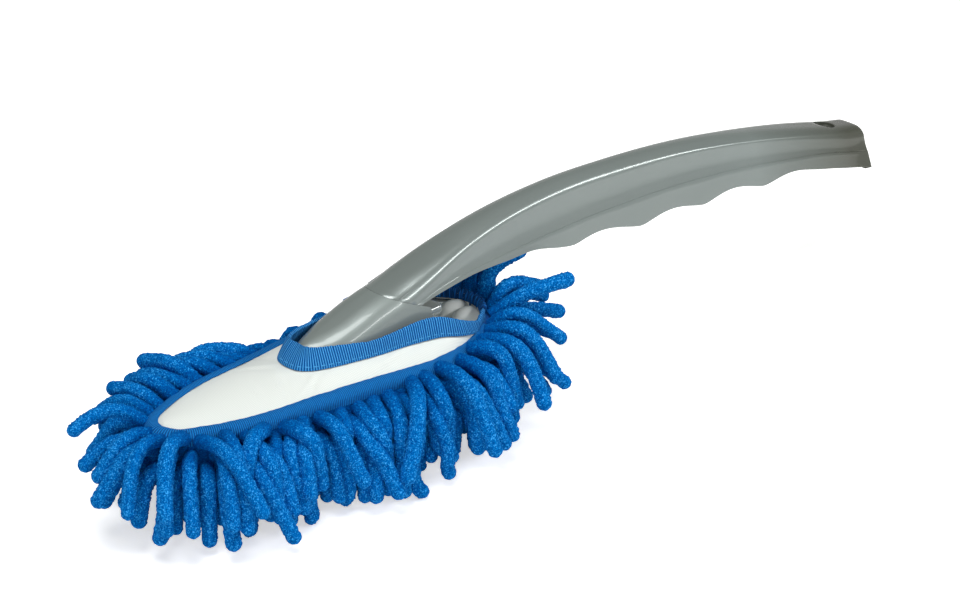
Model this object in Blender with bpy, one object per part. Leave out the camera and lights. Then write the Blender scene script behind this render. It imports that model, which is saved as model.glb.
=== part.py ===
"""Hand mop: an arched plastic handle on a boat-shaped head, with a slip-on chenille cover.

+X runs from the nose of the head to the end of the handle, +Y across, +Z up. While it is modelled, x is counted
from the tip of the cover's white top and z from the floor. The last step centres the mop over the origin.
"""
import math
import random

import bmesh
import bpy
import numpy as np
from mathutils import Vector

MM = 0.001

# Fits between neighbouring pieces, and how far a cutter runs past what it cuts
GAP = 0.3 * MM
OVERRUN = 2 * MM
MERGE = 0.0001 * MM

# Head outline, read over half a turn from nose to stern: (turn share, half-width share)
RIM_HEIGHT = 39.5 * MM
RIM_LENGTH = 150 * MM
RIM_HALF_WIDTH = 27 * MM
RIM_SHARES = ((0, 0), (.1, .25), (.18, .4), (.24, .53), (.3, .63), (.4, .72), (.54, .88), (.63, 1),
              (.7, .96), (.775, .8), (.843, .58), (.91, .33), (1, 0))

# Opening in the cover, read the same way; its place and size follow the rim's
OPENING_FRONT = RIM_LENGTH * 0.37
OPENING_LENGTH = RIM_LENGTH * 0.6133
OPENING_HALF_WIDTH = RIM_HALF_WIDTH * 0.7778
OPENING_SHARES = ((0, 0), (.15, .33), (.235, .52), (.317, .65), (.4, .745), (.486, .8), (.57, .9),
                  (.643, .98), (.726, .86), (.822, .58), (.905, .29), (1, 0))

# Plate inside the cover
PLATE_OUTSET = 2.7 * MM
PLATE_WALL = 2 * MM
PLATE_DEPTH = 12 * MM
PLATE_EDGE_DROP = 1.4 * MM
PLATE_CREST = 3.2 * MM
STERN_FALL_START = RIM_LENGTH * 0.787
STERN_FALL = 3.4 * MM
LOBE_PLACE = RIM_LENGTH * 0.92
LOBE_SPREAD = 6.4 * MM
LOBE_LENGTH = 9.5 * MM
LOBE_WIDTH = 6.2 * MM
LOBE_RISE = 4.4 * MM
RIB_WALL = 1.6 * MM
RIB_PITCH = RIM_LENGTH * 0.2133
RIB_COUNT = 4

# Cover: cloths, tapes and the chenille side band
CLOTH = 0.8 * MM
COVER_SLACK = 1.3 * MM
TAPE = 1 * MM
TAPE_WIDTH = 6.4 * MM
TAPE_LEAN = 1.5 * MM
ELASTIC = 1.8 * MM
ELASTIC_WIDTH = 5 * MM
EDGE_TAPE_REACH = 5.6 * MM
EDGE_TAPE_DROP = 2.9 * MM
EDGE_TAPE_CROWN = 1.7 * MM
BAND = 1.3 * MM
BAND_OUTSET = 4.6 * MM
BAND_TOP_DROP = 3.2 * MM
SOLE = 1.4 * MM
SOLE_DROP = 19.6 * MM
FOAM_SQUEEZE = 0.4 * MM
TAIL_SHARE = 0.44

# Chenille strands
STRAND_WIDTH = 5.2 * MM
STRAND_TIP_SHARE = 0.8
SIDE_STRANDS_PER_ROW = 52
TOP_ROW_DROP = 6.3 * MM
TOP_ROW_REACH = 20.5 * MM
TOP_ROW_BULGE = 13 * MM
TOP_ROW_TIP = 3.6 * MM
MIDDLE_ROW_DROP = 11.9 * MM
MIDDLE_ROW_REACH = 13 * MM
MIDDLE_ROW_BULGE = 9 * MM
LOW_ROW_DROP = 17.5 * MM
LOW_ROW_REACH = 6.2 * MM
LOW_ROW_BULGE = 5.6 * MM
# Rows of the side band: drop below the rim, reach outwards, bulge, height of the tips, where a strand bends
SIDE_ROWS = ((TOP_ROW_DROP, TOP_ROW_REACH, TOP_ROW_BULGE, TOP_ROW_TIP, (0, .3, .62, 1)),
             (MIDDLE_ROW_DROP, MIDDLE_ROW_REACH, MIDDLE_ROW_BULGE, 0, (0, .42, 1)),
             (LOW_ROW_DROP, LOW_ROW_REACH, LOW_ROW_BULGE, 0, (0, .4, 1)))
# At the nose and the stern the top row stands out further and hangs less
END_SPREAD_SHARE = 0.1
END_SPREAD_REACH = 4 * MM
END_SPREAD_LIFT = 17 * MM
SOLE_STRAND_PITCH = 6.4 * MM
STRAND_SWAY = 0.7 * MM
# Sectors of the side band: name, start and end as shares of the way round, and how many faces the band has
SECTOR_SHARES = (("strands_nose", -.06, .06, 16), ("strands_left_front", .06, .25, 8),
                 ("strands_left_rear", .25, .44, 9), ("strands_tail", .44, .56, 12),
                 ("strands_right_rear", .56, .75, 9), ("strands_right_front", .75, .94, 8))
SOLE_CUTS = (("sole_front", 0, .36), ("sole_middle", .36, .69), ("sole_rear", .69, 1))

# Neck wedge and handle: the ridge of the top face, as shares of the arch's height above the rim
NECK_INSET = 3.5 * MM
NECK_LENGTH = 41 * MM
NECK_HEEL = 18 * MM
HANDLE_LENGTH = 277 * MM
NECK_FRONT = OPENING_FRONT + NECK_INSET
SEAM_X = NECK_FRONT + NECK_LENGTH
NECK_REAR = SEAM_X + NECK_HEEL
HANDLE_END = SEAM_X + HANDLE_LENGTH
SEAM_LEAN = 16 * MM
SEAM_DROP = 7 * MM
ARCH_RISE = 37.5 * MM
NECK_RIDGE_SHARES = ((0, .24), (.17, .3), (.41, .36), (.56, .41), (.85, .515), (1, .56), (1.3, .64),
                     (1.5, .7))
GRIP_RIDGE_SHARES = ((-.02, .54), (0, .56), (.064, .684), (.15, .842), (.236, .945), (.33, .995),
                     (.45, .98), (.62, .884), (.75, .73), (.88, .52), (.94, .435), (1, .37))
TOP_HALF_WIDTH = 10.4 * MM
NECK_WIDTH_SHARES = ((0, .1), (.06, .36), (.13, .55), (.22, .7), (.32, .83), (.45, .94), (.6, 1),
                     (1.5, 1))
GRIP_WIDTH_SHARES = ((-.02, 1), (0, 1), (.07, .96), (.15, .72), (.24, .56), (.33, .5), (.5, .52),
                     (.62, .58), (.75, .72), (.88, .93), (1, 1.05))
GRIP_DEPTH = 24 * MM
UPPER_DEPTH_SHARES = ((-.02, .22), (0, .25), (.06, .36), (.14, .5), (.24, .46), (.34, .48), (.5, .56),
                      (.65, .56), (.8, .44), (.92, .3), (1, .3))
SKIRT_DEPTH_SHARES = ((-.02, .04), (0, .04), (.1, .05), (.2, .09), (.27, .16), (.34, .38), (.45, .42),
                      (.56, .4), (.66, .36), (.77, .3), (.85, .22), (.93, .26), (1, .3))
WAVE_DEPTH = 1.7 * MM
WAVE_START = 95 * MM
WAVE_FIRST = SEAM_X + WAVE_START
WAVE_PITCH = 37.5 * MM
WAVE_COUNT = 4
SIDE_FLARE_SHARE = 0.2
STEP_LEDGE = 0.8 * MM
TOP_CROWN = 0.8 * MM
TOP_CORNER = 1.3 * MM
HANDLE_WALL = 2 * MM
CHANNEL_START_SHARE = 0.7
FLANGE_LENGTH = 9 * MM
FLANGE_FLARE = 1.8 * MM
HANG_HOLE_RADIUS = 4.8 * MM
HANG_HOLE_INSET = 17 * MM
GRIP_RIB_COUNT = 8

# Snap joint between handle and neck
SOCKET_DEPTH = 17 * MM
SOCKET_FRONT = SEAM_X - SOCKET_DEPTH
SOCKET_HALF_WIDTH = 8 * MM
SOCKET_FLOOR = 2.2 * MM
SOCKET_ROOF = 2 * MM
SPIGOT_LENGTH = 15 * MM
TONGUE_BEFORE_SEAM = 10 * MM
TONGUE_LENGTH = 41 * MM
TONGUE_ROOT = SEAM_X - TONGUE_BEFORE_SEAM
TONGUE_TIP = TONGUE_ROOT + TONGUE_LENGTH
TONGUE_HALF_WIDTH = 6 * MM
TONGUE_THICK = 2.3 * MM
TONGUE_LIFT = math.radians(4)
TAB_LENGTH = 15 * MM
TAB_START = TONGUE_TIP - TAB_LENGTH
TAB_THICK = 4.4 * MM
TAB_ROUND = 1.6 * MM
HOOK_FROM_ROOT = 14 * MM
HOOK_PLACE = TONGUE_ROOT + HOOK_FROM_ROOT
HOOK_LENGTH = 3 * MM
HOOK_DEPTH = 1.6 * MM

# Screws from under the plate into the neck
SCREW_RADIUS = 1.2 * MM
SCREW_LENGTH = 8 * MM
SCREW_HEAD_RADIUS = 2.8 * MM
SCREW_HEAD = 1.6 * MM
SCREW_SLOT = 0.9 * MM
SCREW_SLOT_SHARE = 0.7
FRONT_SCREW_INSET = 14 * MM
REAR_SCREW_INSET = 9 * MM
FRONT_SCREW_X = NECK_FRONT + FRONT_SCREW_INSET
REAR_SCREW_X = NECK_REAR - REAR_SCREW_INSET
REAR_SCREW_Y = 10.6 * MM

OUTLINE_STEPS = 48
CREASE = math.radians(35)
SEED = 7


def material(name, colour, roughness, metallic=0.0):
    made = bpy.data.materials.new(name)
    made.use_nodes = True
    shader = made.node_tree.nodes["Principled BSDF"]
    shader.inputs["Base Color"].default_value = (*colour, 1)
    shader.inputs["Roughness"].default_value = roughness
    shader.inputs["Metallic"].default_value = metallic
    return made


def add_piece(name, bm, finish=None, smooth=True):
    """Turns a bmesh into a named object with its material."""
    bmesh.ops.remove_doubles(bm, verts=bm.verts, dist=MERGE)
    bmesh.ops.recalc_face_normals(bm, faces=bm.faces)
    mesh = bpy.data.meshes.new(name)
    bm.to_mesh(mesh)
    bm.free()
    piece = bpy.data.objects.new(name, mesh)
    bpy.context.collection.objects.link(piece)
    if finish:
        mesh.materials.append(finish)
    if smooth:
        mesh.shade_smooth()
        mesh.set_sharp_from_angle(angle=CREASE)
    return piece


def boolean(piece, other, operation="DIFFERENCE"):
    other.hide_render = True
    other.display_type = "WIRE"
    change = piece.modifiers.new(other.name, "BOOLEAN")
    change.operation = operation
    change.object = other


def read_shares(table, share):
    """Reads a table of (place share, value share) pairs along a smooth curve."""
    places, values = (np.array(column, float) for column in zip(*table))
    slopes = np.gradient(values, places)
    i = int(np.clip(np.searchsorted(places, share) - 1, 0, len(places) - 2))
    span = places[i + 1] - places[i]
    t = float(np.clip((share - places[i]) / span, 0, 1))
    rise = values[i + 1] - values[i]
    bend = (1 - t) * (slopes[i] * span - rise) - t * (slopes[i + 1] * span - rise)
    return float(values[i] + t * rise + t * (1 - t) * bend)


def outline(front, length, half_width, table, outset=0.0):
    """Closed plan curve from the nose along the left side to the stern and back, moved out by the outset."""
    turns = np.linspace(0, 1, OUTLINE_STEPS + 1)
    x = front + length * (1 - np.cos(math.pi * turns)) / 2
    y = half_width * np.array([read_shares(table, turn) for turn in turns])
    points = np.concatenate([np.stack([x, -y], 1), np.stack([x, y], 1)[-2:0:-1]])
    ahead = np.roll(points, -1, 0) - np.roll(points, 1, 0)
    outward = np.stack([ahead[:, 1], -ahead[:, 0]], 1)
    outward /= np.linalg.norm(outward, axis=1, keepdims=True)
    return points + outset * outward


def along(curve, share):
    """Point and outward direction at a share of a closed curve's length."""
    closed = np.concatenate([curve, curve[:1]])
    steps = np.linalg.norm(np.diff(closed, axis=0), axis=1)
    lengths = np.concatenate([[0], np.cumsum(steps)])
    place = (share % 1) * lengths[-1]
    point = np.array([np.interp(place, lengths, closed[:, k]) for k in (0, 1)])
    reach = lengths[-1] / len(curve)
    ends = [[np.interp((place + side * reach) % lengths[-1], lengths, closed[:, k]) for k in (0, 1)]
            for side in (-1, 1)]
    ahead = np.subtract(ends[1], ends[0])
    outward = np.array([ahead[1], -ahead[0]]) / np.linalg.norm(ahead)
    return point, outward


def curve_length(curve):
    return float(np.linalg.norm(curve - np.roll(curve, 1, 0), axis=1).sum())


def half_width_at(curve, x):
    """Half-width of a plan curve that is alike on both sides."""
    left = curve[:OUTLINE_STEPS + 1]
    return float(-np.interp(x, left[:, 0], left[:, 1]))


def rim_curve(outset=0.0):
    return outline(0, RIM_LENGTH, RIM_HALF_WIDTH, RIM_SHARES, outset)


def opening_curve(outset=0.0):
    return outline(OPENING_FRONT, OPENING_LENGTH, OPENING_HALF_WIDTH, OPENING_SHARES, outset)


RIM = rim_curve()
OPENING = opening_curve()
DOWN = Vector((0, 0, -1))


def ease(share):
    share = min(max(share, 0), 1)
    return share * share * (3 - 2 * share)


def deck_height(x, y):
    """Top of the plate: it climbs from the rim to the opening, and falls away towards the stern."""
    rim = half_width_at(RIM, x)
    inner = half_width_at(OPENING, x) if x > OPENING_FRONT else 0.0
    crest = PLATE_CREST * min(max(x / OPENING_FRONT, 0), 1)
    stern = RIM_LENGTH - STERN_FALL_START
    crest -= STERN_FALL * ease((x - STERN_FALL_START) / stern)
    climb = min(max((rim - abs(y)) / max(rim - inner, GAP), 0), 1)
    return RIM_HEIGHT - PLATE_EDGE_DROP + (crest + PLATE_EDGE_DROP) * climb


def lobe_height(x, y):
    """The two round lobes at the stern of the plate, with a valley between them."""
    far = math.hypot((x - LOBE_PLACE) / LOBE_LENGTH, (abs(y) - LOBE_SPREAD) / LOBE_WIDTH)
    return LOBE_RISE * ease(1 - far)


def loft(sections, closed=False):
    """Skins a list of equal point loops; an open run gets a face at each end."""
    bm = bmesh.new()
    rings = [[bm.verts.new(point) for point in section] for section in sections]
    count = len(rings[0])
    pairs = zip(rings, rings[1:] + rings[:1] if closed else rings[1:])
    for ring, following in pairs:
        for k in range(count):
            corners = [ring[k], ring[(k + 1) % count], following[(k + 1) % count], following[k]]
            bm.faces.new(corners)
    if not closed:
        bm.faces.new(rings[0])
        bm.faces.new(rings[-1])
    return bm


def strip(curve, profile, start, end, steps):
    """Runs a profile of (outset, height) points along a share of a plan curve."""
    sections = []
    for k in range(steps + 1):
        point, outward = along(curve, start + (end - start) * k / steps)
        sections.append([(*(point + outset * outward), height) for outset, height in profile(*point)])
    return loft(sections)


def boat_solid(outset, bottom, top, stations=30, rows=12, x_from=None, x_to=None):
    """A closed solid over the head's outline, flat below and shaped above."""
    curve = rim_curve(outset)
    x_from = -outset if x_from is None else x_from
    x_to = RIM_LENGTH + outset if x_to is None else x_to
    sections = []
    for i in range(stations + 1):
        x = x_from + (x_to - x_from) * (1 - math.cos(math.pi * i / stations)) / 2
        half = half_width_at(curve, x)
        row = [half * (2 * j / rows - 1) for j in range(rows + 1)]
        sections.append([(x, y, top(x, y)) for y in row] + [(x, y, bottom) for y in reversed(row)])
    return loft(sections)


def join_into(whole, part):
    """Moves the faces of one bmesh into another."""
    mesh = bpy.data.meshes.new("part")
    part.to_mesh(mesh)
    part.free()
    whole.from_mesh(mesh)
    bpy.data.meshes.remove(mesh)


def box(low, high):
    bm = bmesh.new()
    bmesh.ops.create_cube(bm, size=1)
    size = Vector(high) - Vector(low)
    bmesh.ops.scale(bm, vec=size, verts=bm.verts)
    bmesh.ops.translate(bm, vec=(Vector(low) + Vector(high)) / 2, verts=bm.verts)
    return bm


def drum(radius, low, high, x, y, sides=20):
    """Upright cylinder between two heights."""
    bm = bmesh.new()
    bmesh.ops.create_cone(bm, cap_ends=True, segments=sides, radius1=radius, radius2=radius,
                          depth=high - low)
    bmesh.ops.translate(bm, vec=(x, y, (low + high) / 2), verts=bm.verts)
    return bm


SCREW_PLACES = {"plate_screw_front": (FRONT_SCREW_X, 0), "plate_screw_left": (REAR_SCREW_X, -REAR_SCREW_Y),
                "plate_screw_right": (REAR_SCREW_X, REAR_SCREW_Y)}
SEAT = RIM_HEIGHT + PLATE_CREST + GAP
PLATE_BOTTOM = RIM_HEIGHT - PLATE_DEPTH


def screw_holes(name, radius, low, high):
    bm = bmesh.new()
    for x, y in SCREW_PLACES.values():
        join_into(bm, drum(radius, low, high, x, y, sides=16))
    return add_piece(name, bm)


def make_plate(finish):
    deck = boat_solid(PLATE_OUTSET, PLATE_BOTTOM, lambda x, y: deck_height(x, y) + lobe_height(x, y),
                      stations=32, rows=16)
    plate = add_piece("head_plate", deck, finish)
    hollow = boat_solid(PLATE_OUTSET - PLATE_WALL, PLATE_BOTTOM - OVERRUN,
                        lambda x, y: deck_height(x, y) - PLATE_WALL, stations=20, rows=6)
    boolean(plate, add_piece("plate_hollow", hollow))
    ribs = bmesh.new()
    rib_top = RIM_HEIGHT - PLATE_EDGE_DROP - PLATE_WALL / 2
    for k in range(RIB_COUNT):
        x = RIM_LENGTH / 2 + (k - (RIB_COUNT - 1) / 2) * RIB_PITCH
        half = half_width_at(RIM, x) - GAP
        low = (x - RIB_WALL / 2, -half, PLATE_BOTTOM + OVERRUN)
        join_into(ribs, box(low, (x + RIB_WALL / 2, half, rib_top)))
    boolean(plate, add_piece("plate_ribs", ribs), "UNION")
    under = deck_height(RIM_LENGTH / 2, 0) - PLATE_WALL
    boolean(plate, screw_holes("plate_holes", SCREW_RADIUS + GAP, under - OVERRUN, SEAT + OVERRUN))


def make_foam(finish):
    low = RIM_HEIGHT - SOLE_DROP + GAP
    high = PLATE_BOTTOM - GAP
    outset = PLATE_OUTSET - FOAM_SQUEEZE
    add_piece("foam_pad", boat_solid(outset, low, lambda x, y: high, stations=24, rows=2), finish)


def make_panel(finish):
    """White top of the cover: a sheet between the rim and the opening, just clear of the plate."""
    outer = rim_curve(CLOTH)
    around, across = 44, 5
    sections = []
    for i in range(around):
        rim_point, _ = along(outer, i / around)
        edge_point, _ = along(OPENING, i / around)
        row = [rim_point + (edge_point - rim_point) * k / across for k in range(across + 1)]
        heights = [deck_height(*point) + COVER_SLACK for point in row]
        lower = [(*point, height) for point, height in zip(row, heights)]
        upper = [(*point, height + CLOTH) for point, height in zip(row, heights)]
        sections.append(lower + upper[::-1])
    add_piece("cover_panel", loft(sections, closed=True), finish)


def panel_top(x, y):
    return deck_height(x, y) + COVER_SLACK + CLOTH


def make_bindings(tape_blue, dark_blue):
    def upright(thick, width, lean):
        def profile(x, y):
            foot = max(panel_top(x, y), panel_top(x, 0)) + GAP
            return [(0, foot), (-lean, foot + width), (thick - lean, foot + width), (thick, foot)]
        return profile

    around = 1 - TAIL_SHARE
    gap_share = GAP / curve_length(OPENING)
    binding = strip(OPENING, upright(TAPE, TAPE_WIDTH, TAPE_LEAN), around + gap_share,
                    1 + TAIL_SHARE - gap_share, 32)
    add_piece("opening_binding", binding, tape_blue)
    elastic = strip(OPENING, upright(ELASTIC, ELASTIC_WIDTH, TAPE_LEAN), TAIL_SHARE + gap_share,
                    around - gap_share, 14)
    add_piece("opening_elastic", elastic, dark_blue)

    def folded(x, y):
        """Tape folded over the seam: flat on the white top, then turned down outside the side band."""
        top = max(RIM_HEIGHT - PLATE_EDGE_DROP + COVER_SLACK + CLOTH, panel_top(x, y)) + 2 * GAP
        bottom = RIM_HEIGHT - EDGE_TAPE_DROP
        inner = BAND_OUTSET + GAP
        return [(0, top), (0, top + TAPE), (inner - TAPE, top + TAPE / 2),
                (EDGE_TAPE_REACH, top - EDGE_TAPE_CROWN), (EDGE_TAPE_REACH, bottom), (inner, bottom),
                (inner, top - EDGE_TAPE_CROWN), (inner - TAPE, top - TAPE / 2)]

    gap_share = GAP / curve_length(RIM)
    add_piece("edge_binding_left", strip(RIM, folded, gap_share, TAIL_SHARE - gap_share, 22), tape_blue)
    add_piece("edge_binding_right", strip(RIM, folded, around + gap_share, 1 - gap_share, 22), tape_blue)
    add_piece("tail_tape", strip(RIM, folded, TAIL_SHARE + gap_share, around - gap_share, 12), dark_blue)


def strand(bm, path, start, end, across):
    """Adds one closed four-sided strand along a path, from its direction at the root to that at its tip."""
    inner = [after - before for before, after in zip(path, path[2:])]
    widths = [STRAND_WIDTH] * (len(path) - 1) + [STRAND_WIDTH * STRAND_TIP_SHARE]
    rings = []
    for point, ahead, width in zip(path, [start, *inner, end], widths):
        up = across.cross(ahead).normalized()
        rings.append([bm.verts.new(point + width / 2 * (a * across + b * up))
                      for a, b in ((-1, -1), (1, -1), (1, 1), (-1, 1))])
    for ring, following in zip(rings, rings[1:]):
        for k in range(4):
            bm.faces.new([ring[k], ring[(k + 1) % 4], following[(k + 1) % 4], following[k]])
    bm.faces.new(rings[0])
    bm.faces.new(rings[-1])


def make_side_strands(chenille):
    curve = rim_curve(BAND_OUTSET)
    middle = rim_curve(BAND_OUTSET - BAND / 2)
    chance = random.Random(SEED)
    gap_share = GAP / curve_length(curve)
    top = RIM_HEIGHT - BAND_TOP_DROP
    bottom = RIM_HEIGHT - SOLE_DROP - SOLE
    for name, start, end, faces in SECTOR_SHARES:
        band = strip(curve, lambda x, y: [(0, top), (-BAND, top), (-BAND, bottom), (0, bottom)],
                     start + gap_share, end - gap_share, faces)
        piece = add_piece(name, band, chenille)
        strands = bmesh.new()
        for row, (drop, reach, bulge, tip_height, bends) in enumerate(SIDE_ROWS):
            count = round((end - start) * SIDE_STRANDS_PER_ROW)
            staggered = row % 2
            for k in range(count - staggered):
                share = start + (end - start) * (k + 0.5 + 0.5 * staggered) / count
                root, outward = along(middle, share)
                outward = Vector((*outward, 0))
                across = Vector((-outward.y, outward.x, 0))
                begin = Vector((*root, RIM_HEIGHT - drop))
                from_end = abs((share + 0.25) % 0.5 - 0.25)
                spread = 0 if row else ease(1 - from_end / END_SPREAD_SHARE)
                sway = chance.uniform(-STRAND_SWAY, STRAND_SWAY)
                tip = begin + outward * (reach + END_SPREAD_REACH * spread + sway)
                tip += across * chance.uniform(-STRAND_SWAY, STRAND_SWAY)
                tip.z = tip_height + END_SPREAD_LIFT * spread
                knee = begin + outward * bulge
                path = [begin.lerp(knee, t).lerp(knee.lerp(tip, t), t) for t in bends]
                strand(strands, path, outward, path[-1] - path[-2] if tip_height else DOWN, across)
        boolean(piece, add_piece(name + "_strands", strands, smooth=False), "UNION")


def make_sole(chenille):
    low = RIM_HEIGHT - SOLE_DROP - SOLE
    high = RIM_HEIGHT - SOLE_DROP
    outset = BAND_OUTSET - BAND - 2 * GAP
    curve = rim_curve(outset)
    margin = STRAND_WIDTH / 2 + GAP
    for name, start, end in SOLE_CUTS:
        x_from = -outset if start == 0 else RIM_LENGTH * start + GAP / 2
        x_to = RIM_LENGTH + outset if end == 1 else RIM_LENGTH * end - GAP / 2
        backing = boat_solid(outset, low, lambda x, y: high, stations=12, rows=2, x_from=x_from, x_to=x_to)
        piece = add_piece(name, backing, chenille)
        strands = bmesh.new()
        columns = int((x_to - x_from - 2 * margin) / (SOLE_STRAND_PITCH * math.sqrt(3) / 2))
        for i in range(columns + 1):
            x = x_from + margin + i * (x_to - x_from - 2 * margin) / columns
            half = min(half_width_at(curve, x - margin), half_width_at(curve, x + margin)) - margin
            if half < 0:
                continue
            count = int(2 * half / SOLE_STRAND_PITCH)
            for j in range(count + 1):
                y = (j - count / 2) * SOLE_STRAND_PITCH
                path = [Vector((x, y, (low + high) / 2)), Vector((x, y, 0))]
                strand(strands, path, DOWN, DOWN, Vector((0, 1, 0)))
        boolean(piece, add_piece(name + "_strands", strands, smooth=False), "UNION")


def grip_values(x):
    """Ridge height, top half-width, step height and lower edge of the neck or handle at one place."""
    if x < SEAM_X:
        share = (x - NECK_FRONT) / (SEAM_X - NECK_FRONT)
        ridge = RIM_HEIGHT + ARCH_RISE * read_shares(NECK_RIDGE_SHARES, share)
        width = TOP_HALF_WIDTH * read_shares(NECK_WIDTH_SHARES, share)
        return ridge, width, ridge, SEAT
    share = (x - SEAM_X) / (HANDLE_END - SEAM_X)
    ridge = RIM_HEIGHT + ARCH_RISE * read_shares(GRIP_RIDGE_SHARES, share)
    width = TOP_HALF_WIDTH * read_shares(GRIP_WIDTH_SHARES, share)
    step = ridge - GRIP_DEPTH * read_shares(UPPER_DEPTH_SHARES, share)
    low = step - GRIP_DEPTH * read_shares(SKIRT_DEPTH_SHARES, share)
    wave = (x - WAVE_FIRST) / WAVE_PITCH
    if -0.5 < wave < WAVE_COUNT - 0.5:
        low -= WAVE_DEPTH * math.cos(2 * math.pi * wave)
    else:
        past_wave = -0.5 - wave if wave < 0 else wave - WAVE_COUNT + 0.5
        low += WAVE_DEPTH * ease(1 - past_wave * 2)
    return ridge, width, step, low


def flange(x):
    """How far the end of the handle flares out, on a hollow curve."""
    start = HANDLE_END - FLANGE_LENGTH
    return FLANGE_FLARE * max((x - start) / FLANGE_LENGTH, 0) ** 2


def handle_section(x):
    ridge, width, step, low = grip_values(x)
    flare = flange(x)
    width += flare
    ridge += flare / 3
    low -= flare / 3
    at_step = width + SIDE_FLARE_SHARE * (ridge - step)
    at_low = at_step + STEP_LEDGE + SIDE_FLARE_SHARE * (step - low)
    left = [(-at_low, low), (-at_step - STEP_LEDGE, step - STEP_LEDGE / 2), (-at_step, step),
            (-width, ridge - TOP_CORNER), (-width + TOP_CORNER / 3, ridge - TOP_CORNER / 3),
            (-width + TOP_CORNER, ridge)]
    right = [(-y, z) for y, z in reversed(left)]
    return [(x, y, z) for y, z in left + [(0, ridge + TOP_CROWN)] + right]


def handle_hollow(x, rib=False):
    ridge, width, step, low = grip_values(x)
    at_low = width + SIDE_FLARE_SHARE * (ridge - low) - HANDLE_WALL
    top = ridge - HANDLE_WALL
    inner = width - HANDLE_WALL
    deep = low - OVERRUN
    if rib:
        top = low + (top - low) / 3
        inner += (at_low - inner) * 2 / 3
    return [(x, -at_low, deep), (x, -inner, top), (x, inner, top), (x, at_low, deep)]


def stations(start, end, pitch):
    count = max(1, round((end - start) / pitch))
    return [start + (end - start) * k / count for k in range(count + 1)]


def cut_by_seam(bm, clearance, keep_above):
    """Cuts a solid along the slanted seam between neck and handle."""
    ridge = grip_values(SEAM_X)[0]
    along_seam = Vector((SEAM_LEAN, 0, -SEAM_DROP))
    normal = along_seam.cross(Vector((0, 1, 0))).normalized()
    if normal.z < 0:
        normal = -normal
    point = Vector((SEAM_X, 0, ridge)) + normal * clearance
    geometry = bm.verts[:] + bm.edges[:] + bm.faces[:]
    cut = bmesh.ops.bisect_plane(bm, geom=geometry, plane_co=point, plane_no=normal, clear_inner=keep_above,
                                 clear_outer=not keep_above)
    edges = [item for item in cut["geom_cut"] if isinstance(item, bmesh.types.BMEdge)]
    bmesh.ops.contextual_create(bm, geom=edges)


def socket_roof(x):
    return grip_values(min(x, SEAM_X))[0] - SOCKET_ROOF


def make_handle(plastic):
    places = stations(SEAM_X - OVERRUN, WAVE_FIRST - WAVE_PITCH / 2, WAVE_PITCH / 5)
    places += stations(places[-1], HANDLE_END - FLANGE_LENGTH, WAVE_PITCH / 8)[1:]
    places += stations(places[-1], HANDLE_END, FLANGE_LENGTH / 4)[1:]
    body = loft([handle_section(x) for x in places])
    cut_by_seam(body, 0, True)
    handle = add_piece("handle_arm", body, plastic)

    hollow_from = SEAM_X + SEAM_LEAN * CHANNEL_START_SHARE
    hollow_to = HANDLE_END - HANDLE_WALL
    channel = loft([handle_hollow(x, rib=True) for x in stations(hollow_from, hollow_to, WAVE_PITCH / 6)])
    boolean(handle, add_piece("handle_channel", channel))
    bays = bmesh.new()
    first = hollow_from
    length = (hollow_to - hollow_from + RIB_WALL) / (GRIP_RIB_COUNT + 1)
    for k in range(GRIP_RIB_COUNT + 1):
        places = stations(first, first + length - RIB_WALL, WAVE_PITCH / 6)
        join_into(bays, loft([handle_hollow(x) for x in places]))
        first += length
    boolean(handle, add_piece("handle_bays", bays))

    # Spigot that plugs into the neck; its underside leaves the tongue room to lift
    half = SOCKET_HALF_WIDTH - GAP
    sections = []
    for x in (SEAM_X - SPIGOT_LENGTH, TONGUE_ROOT - OVERRUN, SEAM_X, SEAM_X + SEAM_LEAN / 2):
        low = SEAT + SOCKET_FLOOR + GAP + TONGUE_THICK + GAP
        low += max(x - TONGUE_ROOT + OVERRUN, 0) * math.tan(TONGUE_LIFT)
        high = socket_roof(x) - GAP
        sections.append([(x, -half, low), (x, -half, high), (x, half, high), (x, half, low)])
    spigot = loft(sections)
    boolean(handle, add_piece("handle_spigot", spigot), "UNION")

    x = HANDLE_END - HANG_HOLE_INSET
    ridge = grip_values(x)[0]
    hole = drum(HANG_HOLE_RADIUS, ridge - 2 * HANDLE_WALL, ridge + TOP_CROWN + OVERRUN, x, 0, sides=28)
    boolean(handle, add_piece("hang_hole", hole))


def neck_section(x):
    ridge, width, _, _ = grip_values(x)
    base = width + SIDE_FLARE_SHARE * (ridge - SEAT)
    left = [(-base, SEAT), (-width, ridge - TOP_CORNER), (-width + TOP_CORNER / 3, ridge - TOP_CORNER / 3),
            (-max(width - TOP_CORNER, GAP), ridge)]
    right = [(-y, z) for y, z in reversed(left)]
    return [(x, y, z) for y, z in left + [(0, ridge + TOP_CROWN * width / TOP_HALF_WIDTH)] + right]


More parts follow.
